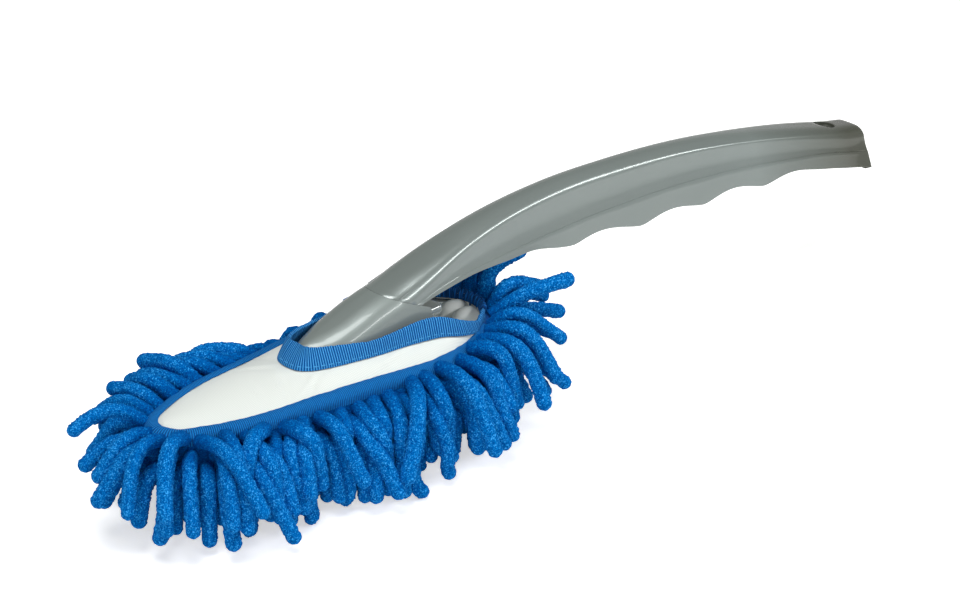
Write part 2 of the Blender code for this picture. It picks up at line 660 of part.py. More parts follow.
def make_neck(plastic):
    places = stations(NECK_FRONT, SEAM_X, (SEAM_X - NECK_FRONT) / 12)
    places += stations(SEAM_X, NECK_REAR, (NECK_REAR - SEAM_X) / 4)[1:]
    body = loft([neck_section(x) for x in places])
    cut_by_seam(body, -GAP, False)
    neck = add_piece("neck_socket", body, plastic)
    floor = SEAT + SOCKET_FLOOR
    half = SOCKET_HALF_WIDTH
    past = NECK_REAR + OVERRUN
    sections = []
    for x in (SOCKET_FRONT, SEAM_X, past):
        roof = socket_roof(x)
        sections.append([(x, -half, floor), (x, -half, roof), (x, half, roof), (x, half, floor)])
    boolean(neck, add_piece("socket_cut", loft(sections)))
    window = box((HOOK_PLACE - HOOK_LENGTH, -TONGUE_HALF_WIDTH - GAP, SEAT - OVERRUN),
                 (HOOK_PLACE + HOOK_LENGTH / 2, TONGUE_HALF_WIDTH + GAP, floor + GAP))
    boolean(neck, add_piece("hook_window", window))
    boolean(neck, screw_holes("neck_holes", SCREW_RADIUS + GAP, SEAT - OVERRUN, SEAT + SCREW_LENGTH))


def make_tongue(plastic):
    """Snap tongue under the spigot; its rear end is the thumb tab in the crotch."""
    low = SEAT + SOCKET_FLOOR + GAP
    high = low + TONGUE_THICK
    tab_top = low + TAB_THICK
    hook_low = low - HOOK_DEPTH
    side = [(TONGUE_ROOT, low), (HOOK_PLACE - HOOK_LENGTH / 2, low), (HOOK_PLACE, hook_low),
            (HOOK_PLACE + HOOK_LENGTH / 3, hook_low), (HOOK_PLACE + HOOK_LENGTH / 3, low),
            (TONGUE_TIP - TAB_ROUND, low), (TONGUE_TIP - TAB_ROUND / 3, low + TAB_ROUND / 3),
            (TONGUE_TIP, low + TAB_ROUND), (TONGUE_TIP, tab_top - TAB_ROUND),
            (TONGUE_TIP - TAB_ROUND / 3, tab_top - TAB_ROUND / 3), (TONGUE_TIP - TAB_ROUND, tab_top),
            (TAB_START + TAB_ROUND, tab_top), (TAB_START - TAB_ROUND, high), (TONGUE_ROOT, high)]
    hinge = Vector((TONGUE_ROOT, 0, (low + high) / 2))
    bm = bmesh.new()
    profile = bm.faces.new([bm.verts.new(Vector((x, -TONGUE_HALF_WIDTH, z)) - hinge) for x, z in side])
    grown = bmesh.ops.extrude_face_region(bm, geom=[profile])
    moved = [item for item in grown["geom"] if isinstance(item, bmesh.types.BMVert)]
    bmesh.ops.translate(bm, vec=(0, 2 * TONGUE_HALF_WIDTH, 0), verts=moved)
    tongue = add_piece("release_tongue", bm, plastic)
    tongue.location = hinge
    corners = box((TONGUE_TIP - 2 * TAB_ROUND, -TONGUE_HALF_WIDTH - OVERRUN, low - OVERRUN),
                  (TONGUE_TIP + OVERRUN, TONGUE_HALF_WIDTH + OVERRUN, tab_top + OVERRUN))
    rounded = drum(TONGUE_HALF_WIDTH + TAB_ROUND, low - 2 * OVERRUN, tab_top + 2 * OVERRUN,
                   TONGUE_TIP - TONGUE_HALF_WIDTH - TAB_ROUND, 0, sides=40)
    outside = add_piece("tab_corners", corners)
    boolean(outside, add_piece("tab_round", rounded))
    boolean(tongue, outside)


def make_screws(steel):
    deck_under = SEAT - GAP - PLATE_WALL
    head_top = deck_under - GAP
    for name, (x, y) in SCREW_PLACES.items():
        head = drum(SCREW_HEAD_RADIUS, head_top - SCREW_HEAD, head_top, x, y, sides=24)
        screw = add_piece(name, head, steel)
        shank = drum(SCREW_RADIUS, head_top - SCREW_HEAD / 2, SEAT + SCREW_LENGTH - GAP, x, y, sides=16)
        boolean(screw, add_piece(name + "_shank", shank), "UNION")
        arm = SCREW_HEAD_RADIUS * SCREW_SLOT_SHARE
        low = head_top - SCREW_HEAD - OVERRUN
        high = head_top - SCREW_HEAD / 2
        for turn, (along_x, along_y) in enumerate(((arm, SCREW_SLOT / 2), (SCREW_SLOT / 2, arm))):
            slot = box((x - along_x, y - along_y, low), (x + along_x, y + along_y, high))
            boolean(screw, add_piece(f"{name}_slot_{turn}", slot, smooth=False))


def centre_on_origin():
    """Hangs every piece on one empty, and moves it so that the mop stands centred over the origin."""
    bpy.context.view_layer.update()
    shown = [item for item in bpy.data.objects if item.type == "MESH" and not item.hide_render]
    corners = np.array([item.matrix_world @ Vector(corner) for item in shown
                        for corner in item.evaluated_get(bpy.context.evaluated_depsgraph_get()).bound_box])
    low, high = corners.min(0), corners.max(0)
    mop = bpy.data.objects.new("hand_mop", None)
    bpy.context.collection.objects.link(mop)
    for item in bpy.data.objects:
        if item.type == "MESH":
            item.parent = mop
    mop.location = (-(low[0] + high[0]) / 2, -(low[1] + high[1]) / 2, -low[2])
    bpy.context.view_layer.update()


def main():
    for item in list(bpy.data.objects):
        bpy.data.objects.remove(item)
    silver = material("silver grey plastic", (0.31, 0.34, 0.34), 0.3, 0.25)
    light = material("light grey plastic", (0.5, 0.56, 0.57), 0.55)
    steel = material("zinc plated steel", (0.6, 0.6, 0.62), 0.35, 1.0)
    white = material("white woven cloth", (0.82, 0.85, 0.84), 0.9)
    tape_blue = material("blue ribbed tape", (0.01, 0.12, 0.38), 0.85)
    dark_blue = material("dark blue elastic tape", (0.006, 0.07, 0.25), 0.85)
    chenille = material("blue chenille", (0.008, 0.13, 0.42), 0.95)
    foam = material("pale foam", (0.75, 0.72, 0.6), 0.95)
    make_handle(silver)
    make_neck(silver)
    make_tongue(silver)
    make_plate(light)
    make_screws(steel)
    make_foam(foam)
    make_panel(white)
    make_bindings(tape_blue, dark_blue)
    make_side_strands(chenille)
    make_sole(chenille)
    centre_on_origin()


main()
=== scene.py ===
"""Hand mop: an arched plastic handle on a boat-shaped head, with a slip-on chenille cover.

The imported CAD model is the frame. In the shape functions x is counted from the tip of the white top and z
from the floor, as in the part's source; SHIFT moves a finished mesh to the frame's origin.
"""

import math
import random

import bpy
import numpy as np
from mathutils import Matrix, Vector, noise


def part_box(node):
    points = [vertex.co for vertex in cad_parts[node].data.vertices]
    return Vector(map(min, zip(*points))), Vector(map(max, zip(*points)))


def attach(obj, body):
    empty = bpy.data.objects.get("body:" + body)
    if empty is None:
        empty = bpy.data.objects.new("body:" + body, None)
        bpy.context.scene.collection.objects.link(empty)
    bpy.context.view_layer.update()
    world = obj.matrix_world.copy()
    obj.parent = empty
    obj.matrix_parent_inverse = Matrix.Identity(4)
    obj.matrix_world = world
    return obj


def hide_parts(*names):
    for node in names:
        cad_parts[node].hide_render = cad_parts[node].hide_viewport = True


bl_info = {
    "name": "Hand mop",
    "version": (1, 0, 0),
    "blender": (4, 5, 0),
    "location": "View3D > Sidebar > Hand mop",
    "description": "Builds a hand mop with a chenille cover around its packed CAD model",
    "category": "Add Mesh",
}

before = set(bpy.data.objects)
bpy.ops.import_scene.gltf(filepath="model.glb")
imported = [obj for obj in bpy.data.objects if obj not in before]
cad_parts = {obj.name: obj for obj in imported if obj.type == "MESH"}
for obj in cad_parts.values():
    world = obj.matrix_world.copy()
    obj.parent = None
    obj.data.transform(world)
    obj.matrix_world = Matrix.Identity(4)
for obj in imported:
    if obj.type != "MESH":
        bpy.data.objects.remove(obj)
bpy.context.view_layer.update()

MM = 0.001
CLOTH = 0.8 * MM
panel_low, panel_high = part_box("cover_panel")
SHIFT = Vector((panel_low.x + CLOTH, (panel_low.y + panel_high.y) / 2, 0))

# Head outline, read over half a turn from nose to stern: (turn share, half-width share)
RIM_HEIGHT = 39.5 * MM
RIM_LENGTH = 150 * MM
RIM_HALF_WIDTH = 27 * MM
RIM_SHARES = ((0, 0), (.1, .25), (.18, .4), (.24, .53), (.3, .63), (.4, .72), (.54, .88), (.63, 1),
              (.7, .96), (.775, .8), (.843, .58), (.91, .33), (1, 0))
OPENING_FRONT = RIM_LENGTH * 0.37
OPENING_LENGTH = RIM_LENGTH * 0.6133
OPENING_HALF_WIDTH = RIM_HALF_WIDTH * 0.7778
OPENING_SHARES = ((0, 0), (.04, .17), (.09, .31), (.15, .43), (.235, .55), (.317, .65), (.4, .745),
                  (.486, .81), (.57, .93), (.643, 1.07), (.726, .95), (.822, .67), (.905, .38), (1, 0))

# How far behind the opening of the solids this one sits
CUT_BACK = 2.5 * MM

# Plate
PLATE_OUTSET = 2.7 * MM
PLATE_WALL = 2 * MM
PLATE_DEPTH = 12 * MM
PLATE_EDGE_DROP = 1.4 * MM
PLATE_CREST = 3.2 * MM
STERN_FALL_START = RIM_LENGTH * 0.76
STERN_FALL = 7.8 * MM
LOBE_PLACE = RIM_LENGTH * 0.965
LOBE_SPREAD = 4 * MM
LOBE_LENGTH = 8 * MM
LOBE_WIDTH = 5 * MM
LOBE_RISE = 6.6 * MM

# Cover
COVER_SLACK = 1.3 * MM
BAND = 1.3 * MM
BAND_OUTSET = 4.6 * MM
BAND_TOP_DROP = 3.2 * MM
EDGE_TAPE_DROP = 2.9 * MM
EDGE_TAPE_REACH = 5.6 * MM
SOLE = 1.4 * MM
SOLE_DROP = 19.6 * MM
TAIL_SHARE = 0.44
GAP = 0.3 * MM

# Neck and handle. Each table goes along one of them: (place share, share of the size that it shapes)
SEAT = RIM_HEIGHT + PLATE_CREST + GAP
NECK_FRONT = OPENING_FRONT + 3.5 * MM
SEAM_X = NECK_FRONT + 41 * MM
NECK_REAR = SEAM_X + 18 * MM
HANDLE_END = SEAM_X + 277 * MM
SEAM_SLOPE = 16 / 7
ARCH_RISE = 37.5 * MM
NECK_RIDGE_SHARES = ((0, .24), (.17, .3), (.41, .36), (.56, .41), (.85, .515), (1, .56), (1.3, .64),
                     (1.5, .7))
GRIP_RIDGE_SHARES = ((-.02, .54), (0, .56), (.064, .688), (.15, .853), (.236, .966), (.33, 1.02),
                     (.45, 1.004), (.62, .903), (.75, .75), (.84, .615), (.91, .497), (.95, .425), (1, .345))
TOP_HALF_WIDTH = 10.4 * MM
NECK_WIDTH_SHARES = ((0, .02), (.11, .1), (.16, .34), (.22, .55), (.32, .77), (.45, .92), (.6, .98),
                     (.72, 1), (.9, 1), (1, 1))
NECK_SET_BACK = 4.6 * MM
GRIP_WIDTH_SHARES = ((-.02, 1), (0, 1), (.07, .96), (.15, .8), (.24, .7), (.33, .66), (.5, .67),
                     (.62, .7), (.75, .78), (.88, .91), (1, .93))
GRIP_DEPTH = 24 * MM
UPPER_DEPTH_SHARES = ((-.02, .28), (0, .29), (.04, .31), (.07, .32), (.12, .38), (.2, .5), (.3, .57),
                      (.42, .55), (.5, .52), (.6, .48), (.7, .43), (.8, .37), (.9, .3), (1, .3))
SKIRT_DEPTH_SHARES = ((-.02, .04), (0, .04), (.1, .05), (.2, .1), (.25, .17), (.3, .28), (.36, .3),
                      (.43, .39), (.5, .42), (.58, .42), (.66, .38), (.77, .32), (.85, .27), (.93, .29),
                      (1, .29))
WAVE_DEPTH = 1.35 * MM
WAVE_SHARPNESS = 1.4
WAVE_FIRST = SEAM_X + 95 * MM
WAVE_PITCH = 37.5 * MM
WAVE_COUNT = 4
SIDE_FLARE_SHARE = 0.2
# The step line along the handle's side: how far it stands out, where it fades in and how its edge is rounded,
# as shares of the ledge outwards and downwards
STEP_LEDGE = 0.8 * MM
STEP_FADE_SHARE = 0.125
LEDGE_LOST_AT_FLANGE = 0.8
LEDGE_ROUND = ((0.97, 0.62), (0.75, 0.2), (0.3, 0.02))
TOP_CROWN = 0.8 * MM
GRIP_CROWN = 2.8 * MM
GRIP_CROWN_SHARES = ((-.02, .29), (0, .29), (.08, .4), (.2, .9), (.3, 1), (1, 1))
# Power of the dome's section, and how much it gains towards the flange, which makes its middle flatter
DOME_POWER = 2.1
DOME_POWER_GAIN = 1.2
TOP_CORNER = 7.4 * MM
TOP_CORNER_SHARES = ((-.02, 1), (0, 1), (.05, .85), (.11, .5), (.18, .3), (.26, .24), (.4, .22), (.9, .22),
                     (.95, .3), (1, .5))
CORNER_DROP_SHARE = 0.8
HOLLOW = 0.5 * MM
HANDLE_WALL = 2 * MM
# Flange at the end of the grip: how far its top rises and draws in, and how its sides spread
FLANGE_LENGTH = 15 * MM
FLANGE_RISE = 2.2 * MM
FLANGE_DRAW_IN = 1.5 * MM
FLANGE_SPREAD_SHARE = 0.2
HANG_HOLE_RADIUS = 4.8 * MM
HANG_HOLE_INSET = 17 * MM
# Ribs in the handle's channel, behind a block that closes its front. They reach into the wall above them and
# beside them, and leave these shares of it outside
GRIP_RIB_COUNT = 8
RIB_WALL = 1.6 * MM
FIRST_RIB = 11 * MM
FRONT_BLOCK_LENGTH = 10 * MM
FRONT_BLOCK_LIFT = 1.5 * MM
WALL_ABOVE_RIB = 0.7
WALL_BESIDE_RIB = 0.6

# Tongue: an arm with a thicker tab at its end
TAB_DROP = 1.6 * MM
TAB_LENGTH = 15 * MM
TAB_ROUND = 1.9 * MM
TAB_TAPER_LENGTH = 6 * MM
TAB_TAPER_SHARE = 0.16
HOOK_DEPTH = 1.6 * MM
ARM_THICK = 2.3 * MM
ARM_ROUND = 0.3 * MM
ARM_WIDTH_SHARE = 0.98

# Seen gap at the seam between neck and handle
SEAM_GAP = 0.12 * MM

# Every strand's chance starts from this seed
SEED = 11


# Shapes

def read_shares(table, share):
    """Reads a table of (place share, value share) pairs along a smooth curve."""
    places, values = (np.array(column, float) for column in zip(*table))
    slopes = np.gradient(values, places)
    i = int(np.clip(np.searchsorted(places, share) - 1, 0, len(places) - 2))
    span = places[i + 1] - places[i]
    t = float(np.clip((share - places[i]) / span, 0, 1))
    rise = values[i + 1] - values[i]
    bend = (1 - t) * (slopes[i] * span - rise) - t * (slopes[i + 1] * span - rise)
    return float(values[i] + t * rise + t * (1 - t) * bend)


def ease(share):
    share = min(max(share, 0), 1)
    return share * share * (3 - 2 * share)


OUTLINE_STEPS = 96


def outline(front, length, half_width, table, outset=0.0):
    """Closed plan curve from the nose along the left side to the stern and back, moved out by the outset."""
    turns = np.linspace(0, 1, OUTLINE_STEPS + 1)
    x = front + length * (1 - np.cos(math.pi * turns)) / 2
    y = half_width * np.array([read_shares(table, turn) for turn in turns])
    points = np.concatenate([np.stack([x, -y], 1), np.stack([x, y], 1)[-2:0:-1]])
    ahead = np.roll(points, -1, 0) - np.roll(points, 1, 0)
    outward = np.stack([ahead[:, 1], -ahead[:, 0]], 1)
    outward /= np.linalg.norm(outward, axis=1, keepdims=True)
    return points + outset * outward


class Curve:
    """A closed plan curve that is read by shares of its length."""

    def __init__(self, points):
        self.closed = np.concatenate([points, points[:1]])
        self.lengths = np.concatenate([[0], np.cumsum(np.linalg.norm(np.diff(self.closed, axis=0), axis=1))])
        self.length = float(self.lengths[-1])
        self.left = points[:OUTLINE_STEPS + 1]

    def point(self, share):
        place = (share % 1) * self.length
        return np.array([np.interp(place, self.lengths, self.closed[:, k]) for k in (0, 1)])

    def outward(self, share, reach=0.008):
        ahead = self.point(share + reach) - self.point(share - reach)
        return np.array([ahead[1], -ahead[0]]) / np.linalg.norm(ahead)

    def half_width(self, x):
        return float(-np.interp(x, self.left[:, 0], self.left[:, 1]))


def rim_curve(outset=0.0):
    return Curve(outline(0, RIM_LENGTH, RIM_HALF_WIDTH, RIM_SHARES, outset))


RIM = rim_curve()
OPENING = Curve(outline(OPENING_FRONT + CUT_BACK, OPENING_LENGTH, OPENING_HALF_WIDTH, OPENING_SHARES))


def deck_height(x, y):
    """Top of the plate: it climbs from the rim to the opening, and falls away towards the stern."""
    rim = RIM.half_width(x)
    inner = OPENING.half_width(x) if x > OPENING_FRONT else 0.0
    crest = PLATE_CREST * min(max(x / OPENING_FRONT, 0), 1)
    crest -= STERN_FALL * ease((x - STERN_FALL_START) / (RIM_LENGTH - STERN_FALL_START))
    climb = min(max((rim - abs(y)) / max(rim - inner, GAP), 0), 1)
    climb = climb * (2 - climb)
    return RIM_HEIGHT - PLATE_EDGE_DROP + (crest + PLATE_EDGE_DROP) * climb


def lobe_height(x, y):
    """The two round lobes at the stern of the plate, with a valley between them."""
    far = math.hypot((x - LOBE_PLACE) / LOBE_LENGTH, (abs(y) - LOBE_SPREAD) / LOBE_WIDTH)
    return LOBE_RISE * math.sqrt(max(1 - far * far, 0))


def cloth_height(x, y):
    return deck_height(x, y) + COVER_SLACK + CLOTH


def grip_share(x):
    """How far along the handle a place is: 0 at its seam and 1 at its end."""
    return (x - SEAM_X) / (HANDLE_END - SEAM_X)


def grip_values(x):
    """Ridge height, top half-width, step height and lower edge of the neck or handle at one place."""
    if x < SEAM_X:
        share = (x - NECK_FRONT) / (SEAM_X - NECK_FRONT)
        ridge = RIM_HEIGHT + ARCH_RISE * read_shares(NECK_RIDGE_SHARES, share)
        return ridge, TOP_HALF_WIDTH * read_shares(NECK_WIDTH_SHARES, share), ridge, SEAT
    share = grip_share(x)
    ridge = RIM_HEIGHT + ARCH_RISE * read_shares(GRIP_RIDGE_SHARES, share)
    width = TOP_HALF_WIDTH * read_shares(GRIP_WIDTH_SHARES, share)
    step = ridge - GRIP_DEPTH * read_shares(UPPER_DEPTH_SHARES, share)
    low = step - GRIP_DEPTH * read_shares(SKIRT_DEPTH_SHARES, share)
    wave = (x - WAVE_FIRST) / WAVE_PITCH
    if -0.5 < wave < WAVE_COUNT - 0.5:
        low += WAVE_DEPTH * (2 * abs(math.sin(math.pi * wave)) ** WAVE_SHARPNESS - 1)
    else:
        past_wave = -0.5 - wave if wave < 0 else wave - WAVE_COUNT + 0.5
        low += WAVE_DEPTH * ease(1 - past_wave * 2)
    return ridge, width, step, low


def flange_share(x):
    """How far the handle has flared into its end flange: 0 before it and 1 at the end."""
    return max((x - HANDLE_END + FLANGE_LENGTH) / FLANGE_LENGTH, 0) ** 2


def rounded_top(x, ridge, width, slope, crown_height, corner_size):
    """Height where the corner of the top begins, and the points from there to the middle of the top."""
    power = DOME_POWER + DOME_POWER_GAIN * ease(grip_share(x) * 4 - 2.6)
    start_z = ridge - corner_size * CORNER_DROP_SHARE
    start_y = width + slope * corner_size * CORNER_DROP_SHARE
    inner = width - corner_size
    edge_z = ridge + crown_height * (1 - (inner / width) ** power)
    points = []
    for t in (0.06, 0.25, 0.5, 0.75, 0.94):
        # Quadratic curve from the side, by the sharp edge, to the dome
        y = (1 - t) ** 2 * start_y + 2 * t * (1 - t) * width + t * t * inner
        z = (1 - t) ** 2 * start_z + 2 * t * (1 - t) * (ridge + 0.1 * crown_height) + t * t * edge_z
        points.append((-y, z))
    for share in (0.88, 0.66, 0.44, 0.22):
        points.append((-inner * share, ridge + crown_height * (1 - (inner * share / width) ** power)))
    return start_z, points + [(0, ridge + crown_height)]


def top_shape(x, width):
    """Height of the top's dome and size of its corners, the same for neck and handle where they meet."""
    share = grip_share(x)
    if share < 0:
        return TOP_CROWN * width / TOP_HALF_WIDTH, min(TOP_CORNER, width * 0.9)
    crown_height = GRIP_CROWN * read_shares(GRIP_CROWN_SHARES, share)
    return crown_height, TOP_CORNER * read_shares(TOP_CORNER_SHARES, share)


def handle_profile(x):
    """Left half of the handle's outside, from its lower edge to the middle of its top, as (y, z) points."""
    ridge, width, step, low = grip_values(x)
    flange = flange_share(x)
    slope = SIDE_FLARE_SHARE + FLANGE_SPREAD_SHARE * flange
    crown_height, corner_size = top_shape(x, width)
    crown_height += (TOP_CROWN - crown_height) * flange
    ridge += FLANGE_RISE * flange
    width -= FLANGE_DRAW_IN * flange
    top_z, top = rounded_top(x, ridge, width, slope, crown_height, corner_size)
    fade_in = ease(grip_share(x) / STEP_FADE_SHARE)
    at_step = width + slope * (ridge - step)
    ledge = STEP_LEDGE * (1 - LEDGE_LOST_AT_FLANGE * flange) * fade_in
    at_low = at_step + ledge + slope * (step - low)
    side = []
    for share in (0, 0.12, 0.35, 0.65, 0.88):
        side.append((-at_low + (at_low - at_step - ledge) * share, low + (step - ledge - low) * share))
    side += [(-at_step - ledge * out, step - ledge * down) for out, down in LEDGE_ROUND]
    # The foot of the wall above the ledge stays a point of its own where there is no ledge
    side.append((-at_step, step + max(ledge, 0.2 * MM) * 0.12))
    for share in (0.08, 0.25, 0.5, 0.75, 0.93):
        z = step + (top_z - step) * share
        hollow = HOLLOW * math.sin(math.pi * share) * min((ridge - step) / GRIP_DEPTH * 2, 1) * fade_in
        side.append((-width - slope * (ridge - z) + hollow, z))
    return side + top


def neck_profile(x):
    """Left half of the neck's outside, with as many points as the handle's."""
    ridge, width, _, _ = grip_values(x)
    top_z, top = rounded_top(x, ridge, width, SIDE_FLARE_SHARE, *top_shape(x, width))
    side = []
    for share in np.linspace(0, 0.97, 14):
        z = SEAT + (top_z - SEAT) * share
        side.append((-width - SIDE_FLARE_SHARE * (ridge - z), z))
    return side + top


HALF_POINTS = len(handle_profile(HANDLE_END))


def whole_profile(half, j):
    """Point j of a profile that is mirrored about its last point."""
    if j < HALF_POINTS:
        return half[j]
    y, z = half[2 * HALF_POINTS - 2 - j]
    return -y, z


# Modelling helpers

def deselect():
    if bpy.context.object and bpy.context.object.mode != "OBJECT":
        bpy.ops.object.mode_set(mode="OBJECT")
    bpy.ops.object.select_all(action="DESELECT")


def choose(piece):
    deselect()
    piece.select_set(True)
    bpy.context.view_layer.objects.active = piece
    return piece


def in_edit_mode(piece, *steps):
    """Runs edit mode operators on all of a piece."""
    choose(piece)
    bpy.ops.object.mode_set(mode="EDIT")
    bpy.ops.mesh.select_all(action="SELECT")
    for operator, settings in steps:
        operator(**settings)
    bpy.ops.object.mode_set(mode="OBJECT")


def tidy_mesh(piece, merge=0.01 * MM):
    in_edit_mode(piece, (bpy.ops.mesh.remove_doubles, {"threshold": merge}),
                 (bpy.ops.mesh.normals_make_consistent, {"inside": False}))


def apply_modifier(piece, kind, **settings):
    choose(piece)
    change = piece.modifiers.new(kind.title(), kind)
    for key, value in settings.items():
        setattr(change, key, value)
    bpy.ops.object.modifier_apply(modifier=change.name)


def bend_grid(name, across, along, place):
    """Adds a grid primitive and lays it where place(u, v) says, u and v running from 0 to 1."""
    deselect()
    bpy.ops.mesh.primitive_grid_add(x_subdivisions=across, y_subdivisions=along, size=1)
    piece = bpy.context.object
    piece.name = piece.data.name = name
    co = np.zeros(len(piece.data.vertices) * 3)
    piece.data.vertices.foreach_get("co", co)
    made = [place(u + 0.5, v + 0.5) for u, v, _ in co.reshape(-1, 3)]
    piece.data.vertices.foreach_set("co", np.array(made, float).ravel())
    piece.data.update()
    return piece


def smooth(piece, degrees=40):
    choose(piece)
    bpy.ops.object.shade_smooth_by_angle(angle=math.radians(degrees))


def settle(piece, finish, body="mop", replaces=()):
    """Moves a finished mesh to the frame, gives it its material and hangs it on its body."""
    piece.data.transform(piece.matrix_world)
    piece.matrix_world.identity()
    choose(piece)
    piece.data.transform(piece.matrix_world.Translation(SHIFT))
    piece.data.materials.clear()
    piece.data.materials.append(finish)
    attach(piece, body)
    if replaces:
        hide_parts(*replaces)
    return piece


# Finishes

# A wave texture of this scale repeats once in each unit
ONE_WAVE = math.pi / 10


def linear(hex_colour):
    """Turns an sRGB hex colour into the linear numbers that Blender works in."""
    parts = [int(hex_colour[i:i + 2], 16) / 255 for i in (1, 3, 5)]
    return (*[part / 12.92 if part <= 0.04045 else ((part + 0.055) / 1.055) ** 2.4 for part in parts], 1.0)


def add_node(tree, kind, settings=None, links=None, into=None):
    """Adds a shader node with its settings, its links and, if asked, a link from its first output."""
    made = tree.nodes.new(kind)
    for key, value in (settings or {}).items():
        if key == "stops":
            elements = made.color_ramp.elements
            while len(elements) < len(value):
                elements.new(0.5)
            for element, (place, colour) in zip(elements, value):
                element.position = place
                element.color = colour
        elif isinstance(key, str) and hasattr(made, key):
            setattr(made, key, value)
        else:
            made.inputs[key].default_value = value
    for key, source in (links or {}).items():
        tree.links.new(source, made.inputs[key])
    if into:
        tree.links.new(made.outputs[0], into)
    return made


def new_finish(name, **sockets):
    """A material with its Principled shader's own sockets set."""
    made = bpy.data.materials.new(name)
    made.use_nodes = True
    shader = made.node_tree.nodes["Principled BSDF"]
    for key, value in sockets.items():
        shader.inputs[key.replace("_", " ")].default_value = value
    return made, made.node_tree, shader


def object_place(tree, size):
    """Object coordinates counted in steps of a real size, ready to be a texture's Vector."""
    place = add_node(tree, "ShaderNodeTexCoord").outputs["Object"]
    scale = 1 / size
    mapping = add_node(tree, "ShaderNodeMapping", {"Scale": (scale, scale, scale)}, {"Vector": place})
    return {"Vector": mapping.outputs["Vector"]}


def moulded_abs(name, light, dark, roughness, wave_depth):
    """ABS, injection moulded, with a silver-grey pearl tint: an even grey with soft, slightly wavy gloss, and
    a painted dark reflection towards the handle's end.
    """
    finish, tree, shader = new_finish(name, IOR=1.53, Metallic=0.35, Coat_Weight=0.5, Coat_Roughness=0.08)
    # Flow of the tint through the mould, about 40 mm wide
    flow = add_node(tree, "ShaderNodeTexNoise", {"Scale": 1.0, "Detail": 2.0}, object_place(tree, 40 * MM))
    tint = add_node(tree, "ShaderNodeValToRGB", {"stops": ((0.1, dark), (0.9, light))},
                    {"Fac": flow.outputs["Fac"]})
    # Painted reflection: the tint turns darker and warmer over the last 60 mm towards the handle's end, for
    # the dark room reflected in its flare
    along = add_node(tree, "ShaderNodeSeparateXYZ",
                     links={0: add_node(tree, "ShaderNodeTexCoord").outputs["Object"]})
    settled = add_node(tree, "ShaderNodeMapRange", {"From Min": 130 * MM, "From Max": 192 * MM},
                       {"Value": along.outputs["X"]})
    tint_with_painted_end_shade = add_node(tree, "ShaderNodeMix", {"data_type": "RGBA", 7: linear("#575950")},
                     {"Factor": settled.outputs["Result"], 6: tint.outputs["Color"]})
    tree.links.new(tint_with_painted_end_shade.outputs[2], shader.inputs["Base Color"])
    # Handling dulls the gloss in soft patches of about 30 mm
    wear = add_node(tree, "ShaderNodeTexNoise", {"Scale": 1.0, "Detail": 1.0}, object_place(tree, 30 * MM))
    add_node(tree, "ShaderNodeMapRange", {"To Min": roughness - 0.04, "To Max": roughness + 0.05},
             {"Value": wear.outputs["Fac"]}, into=shader.inputs["Roughness"])
    # Polished steel mould: very shallow ripple of about 6 mm
    ripple = add_node(tree, "ShaderNodeTexNoise", {"Scale": 1.0, "Detail": 1.0}, object_place(tree, 6 * MM))
    add_node(tree, "ShaderNodeBump", {"Distance": wave_depth}, {"Height": ripple.outputs["Fac"]},
             into=shader.inputs["Normal"])
    return finish


def moulded_pp(name, light, dark):
    """Polypropylene with a fine spark-eroded grain: light grey and matte."""
    finish, tree, shader = new_finish(name, IOR=1.49, Roughness=0.5)
    # Flow of the melt, about 25 mm wide
    flow = add_node(tree, "ShaderNodeTexNoise", {"Scale": 1.0, "Detail": 2.0}, object_place(tree, 25 * MM))
    add_node(tree, "ShaderNodeValToRGB", {"stops": ((0.35, dark), (0.65, light))},
             {"Fac": flow.outputs["Fac"]}, into=shader.inputs["Base Color"])
    # Grains about 0.5 mm wide, coarser than real ones so that they show
    grain = add_node(tree, "ShaderNodeTexNoise", {"Scale": 1.0, "Detail": 2.0}, object_place(tree, 0.5 * MM))
    add_node(tree, "ShaderNodeBump", {"Strength": 0.6, "Distance": 0.05 * MM},
             {"Height": grain.outputs["Fac"]}, into=shader.inputs["Normal"])
    return finish


def zinc_steel(name):
    """Steel screws, zinc plated: pale metal with a faint bluish cloud, about 2 mm wide."""
    finish, tree, shader = new_finish(name, Metallic=1.0, Roughness=0.32)
    cloud = add_node(tree, "ShaderNodeTexNoise", {"Scale": 1.0, "Detail": 3.0}, object_place(tree, 2 * MM))
    add_node(tree, "ShaderNodeValToRGB", {"stops": ((0.3, linear("#b9bdc4")), (0.7, linear("#d2d3d2")))},
             {"Fac": cloud.outputs["Fac"]}, into=shader.inputs["Base Color"])
    return finish


def woven_polyester(name, light, dark, thread):
    """Plain woven polyester: threads over and under each other, with a soft sheen across the yarns."""
    finish, tree, shader = new_finish(name, Roughness=0.82, Sheen_Weight=0.2, Sheen_Roughness=0.5)
    place = object_place(tree, thread)
    warp, weft = (add_node(tree, "ShaderNodeTexWave",
                           {"bands_direction": side, "Scale": ONE_WAVE, "Distortion": 0.3}, place)
                  for side in ("X", "Y"))
    weave = add_node(tree, "ShaderNodeMath", {"operation": "MULTIPLY"},
                     {0: warp.outputs["Fac"], 1: weft.outputs["Fac"]}).outputs[0]
    add_node(tree, "ShaderNodeValToRGB", {"stops": ((0.0, dark), (0.55, light))}, {"Fac": weave},
             into=shader.inputs["Base Color"])
    add_node(tree, "ShaderNodeBump", {"Strength": 0.4, "Distance": 0.06 * MM}, {"Height": weave},
             into=shader.inputs["Normal"])
    return finish


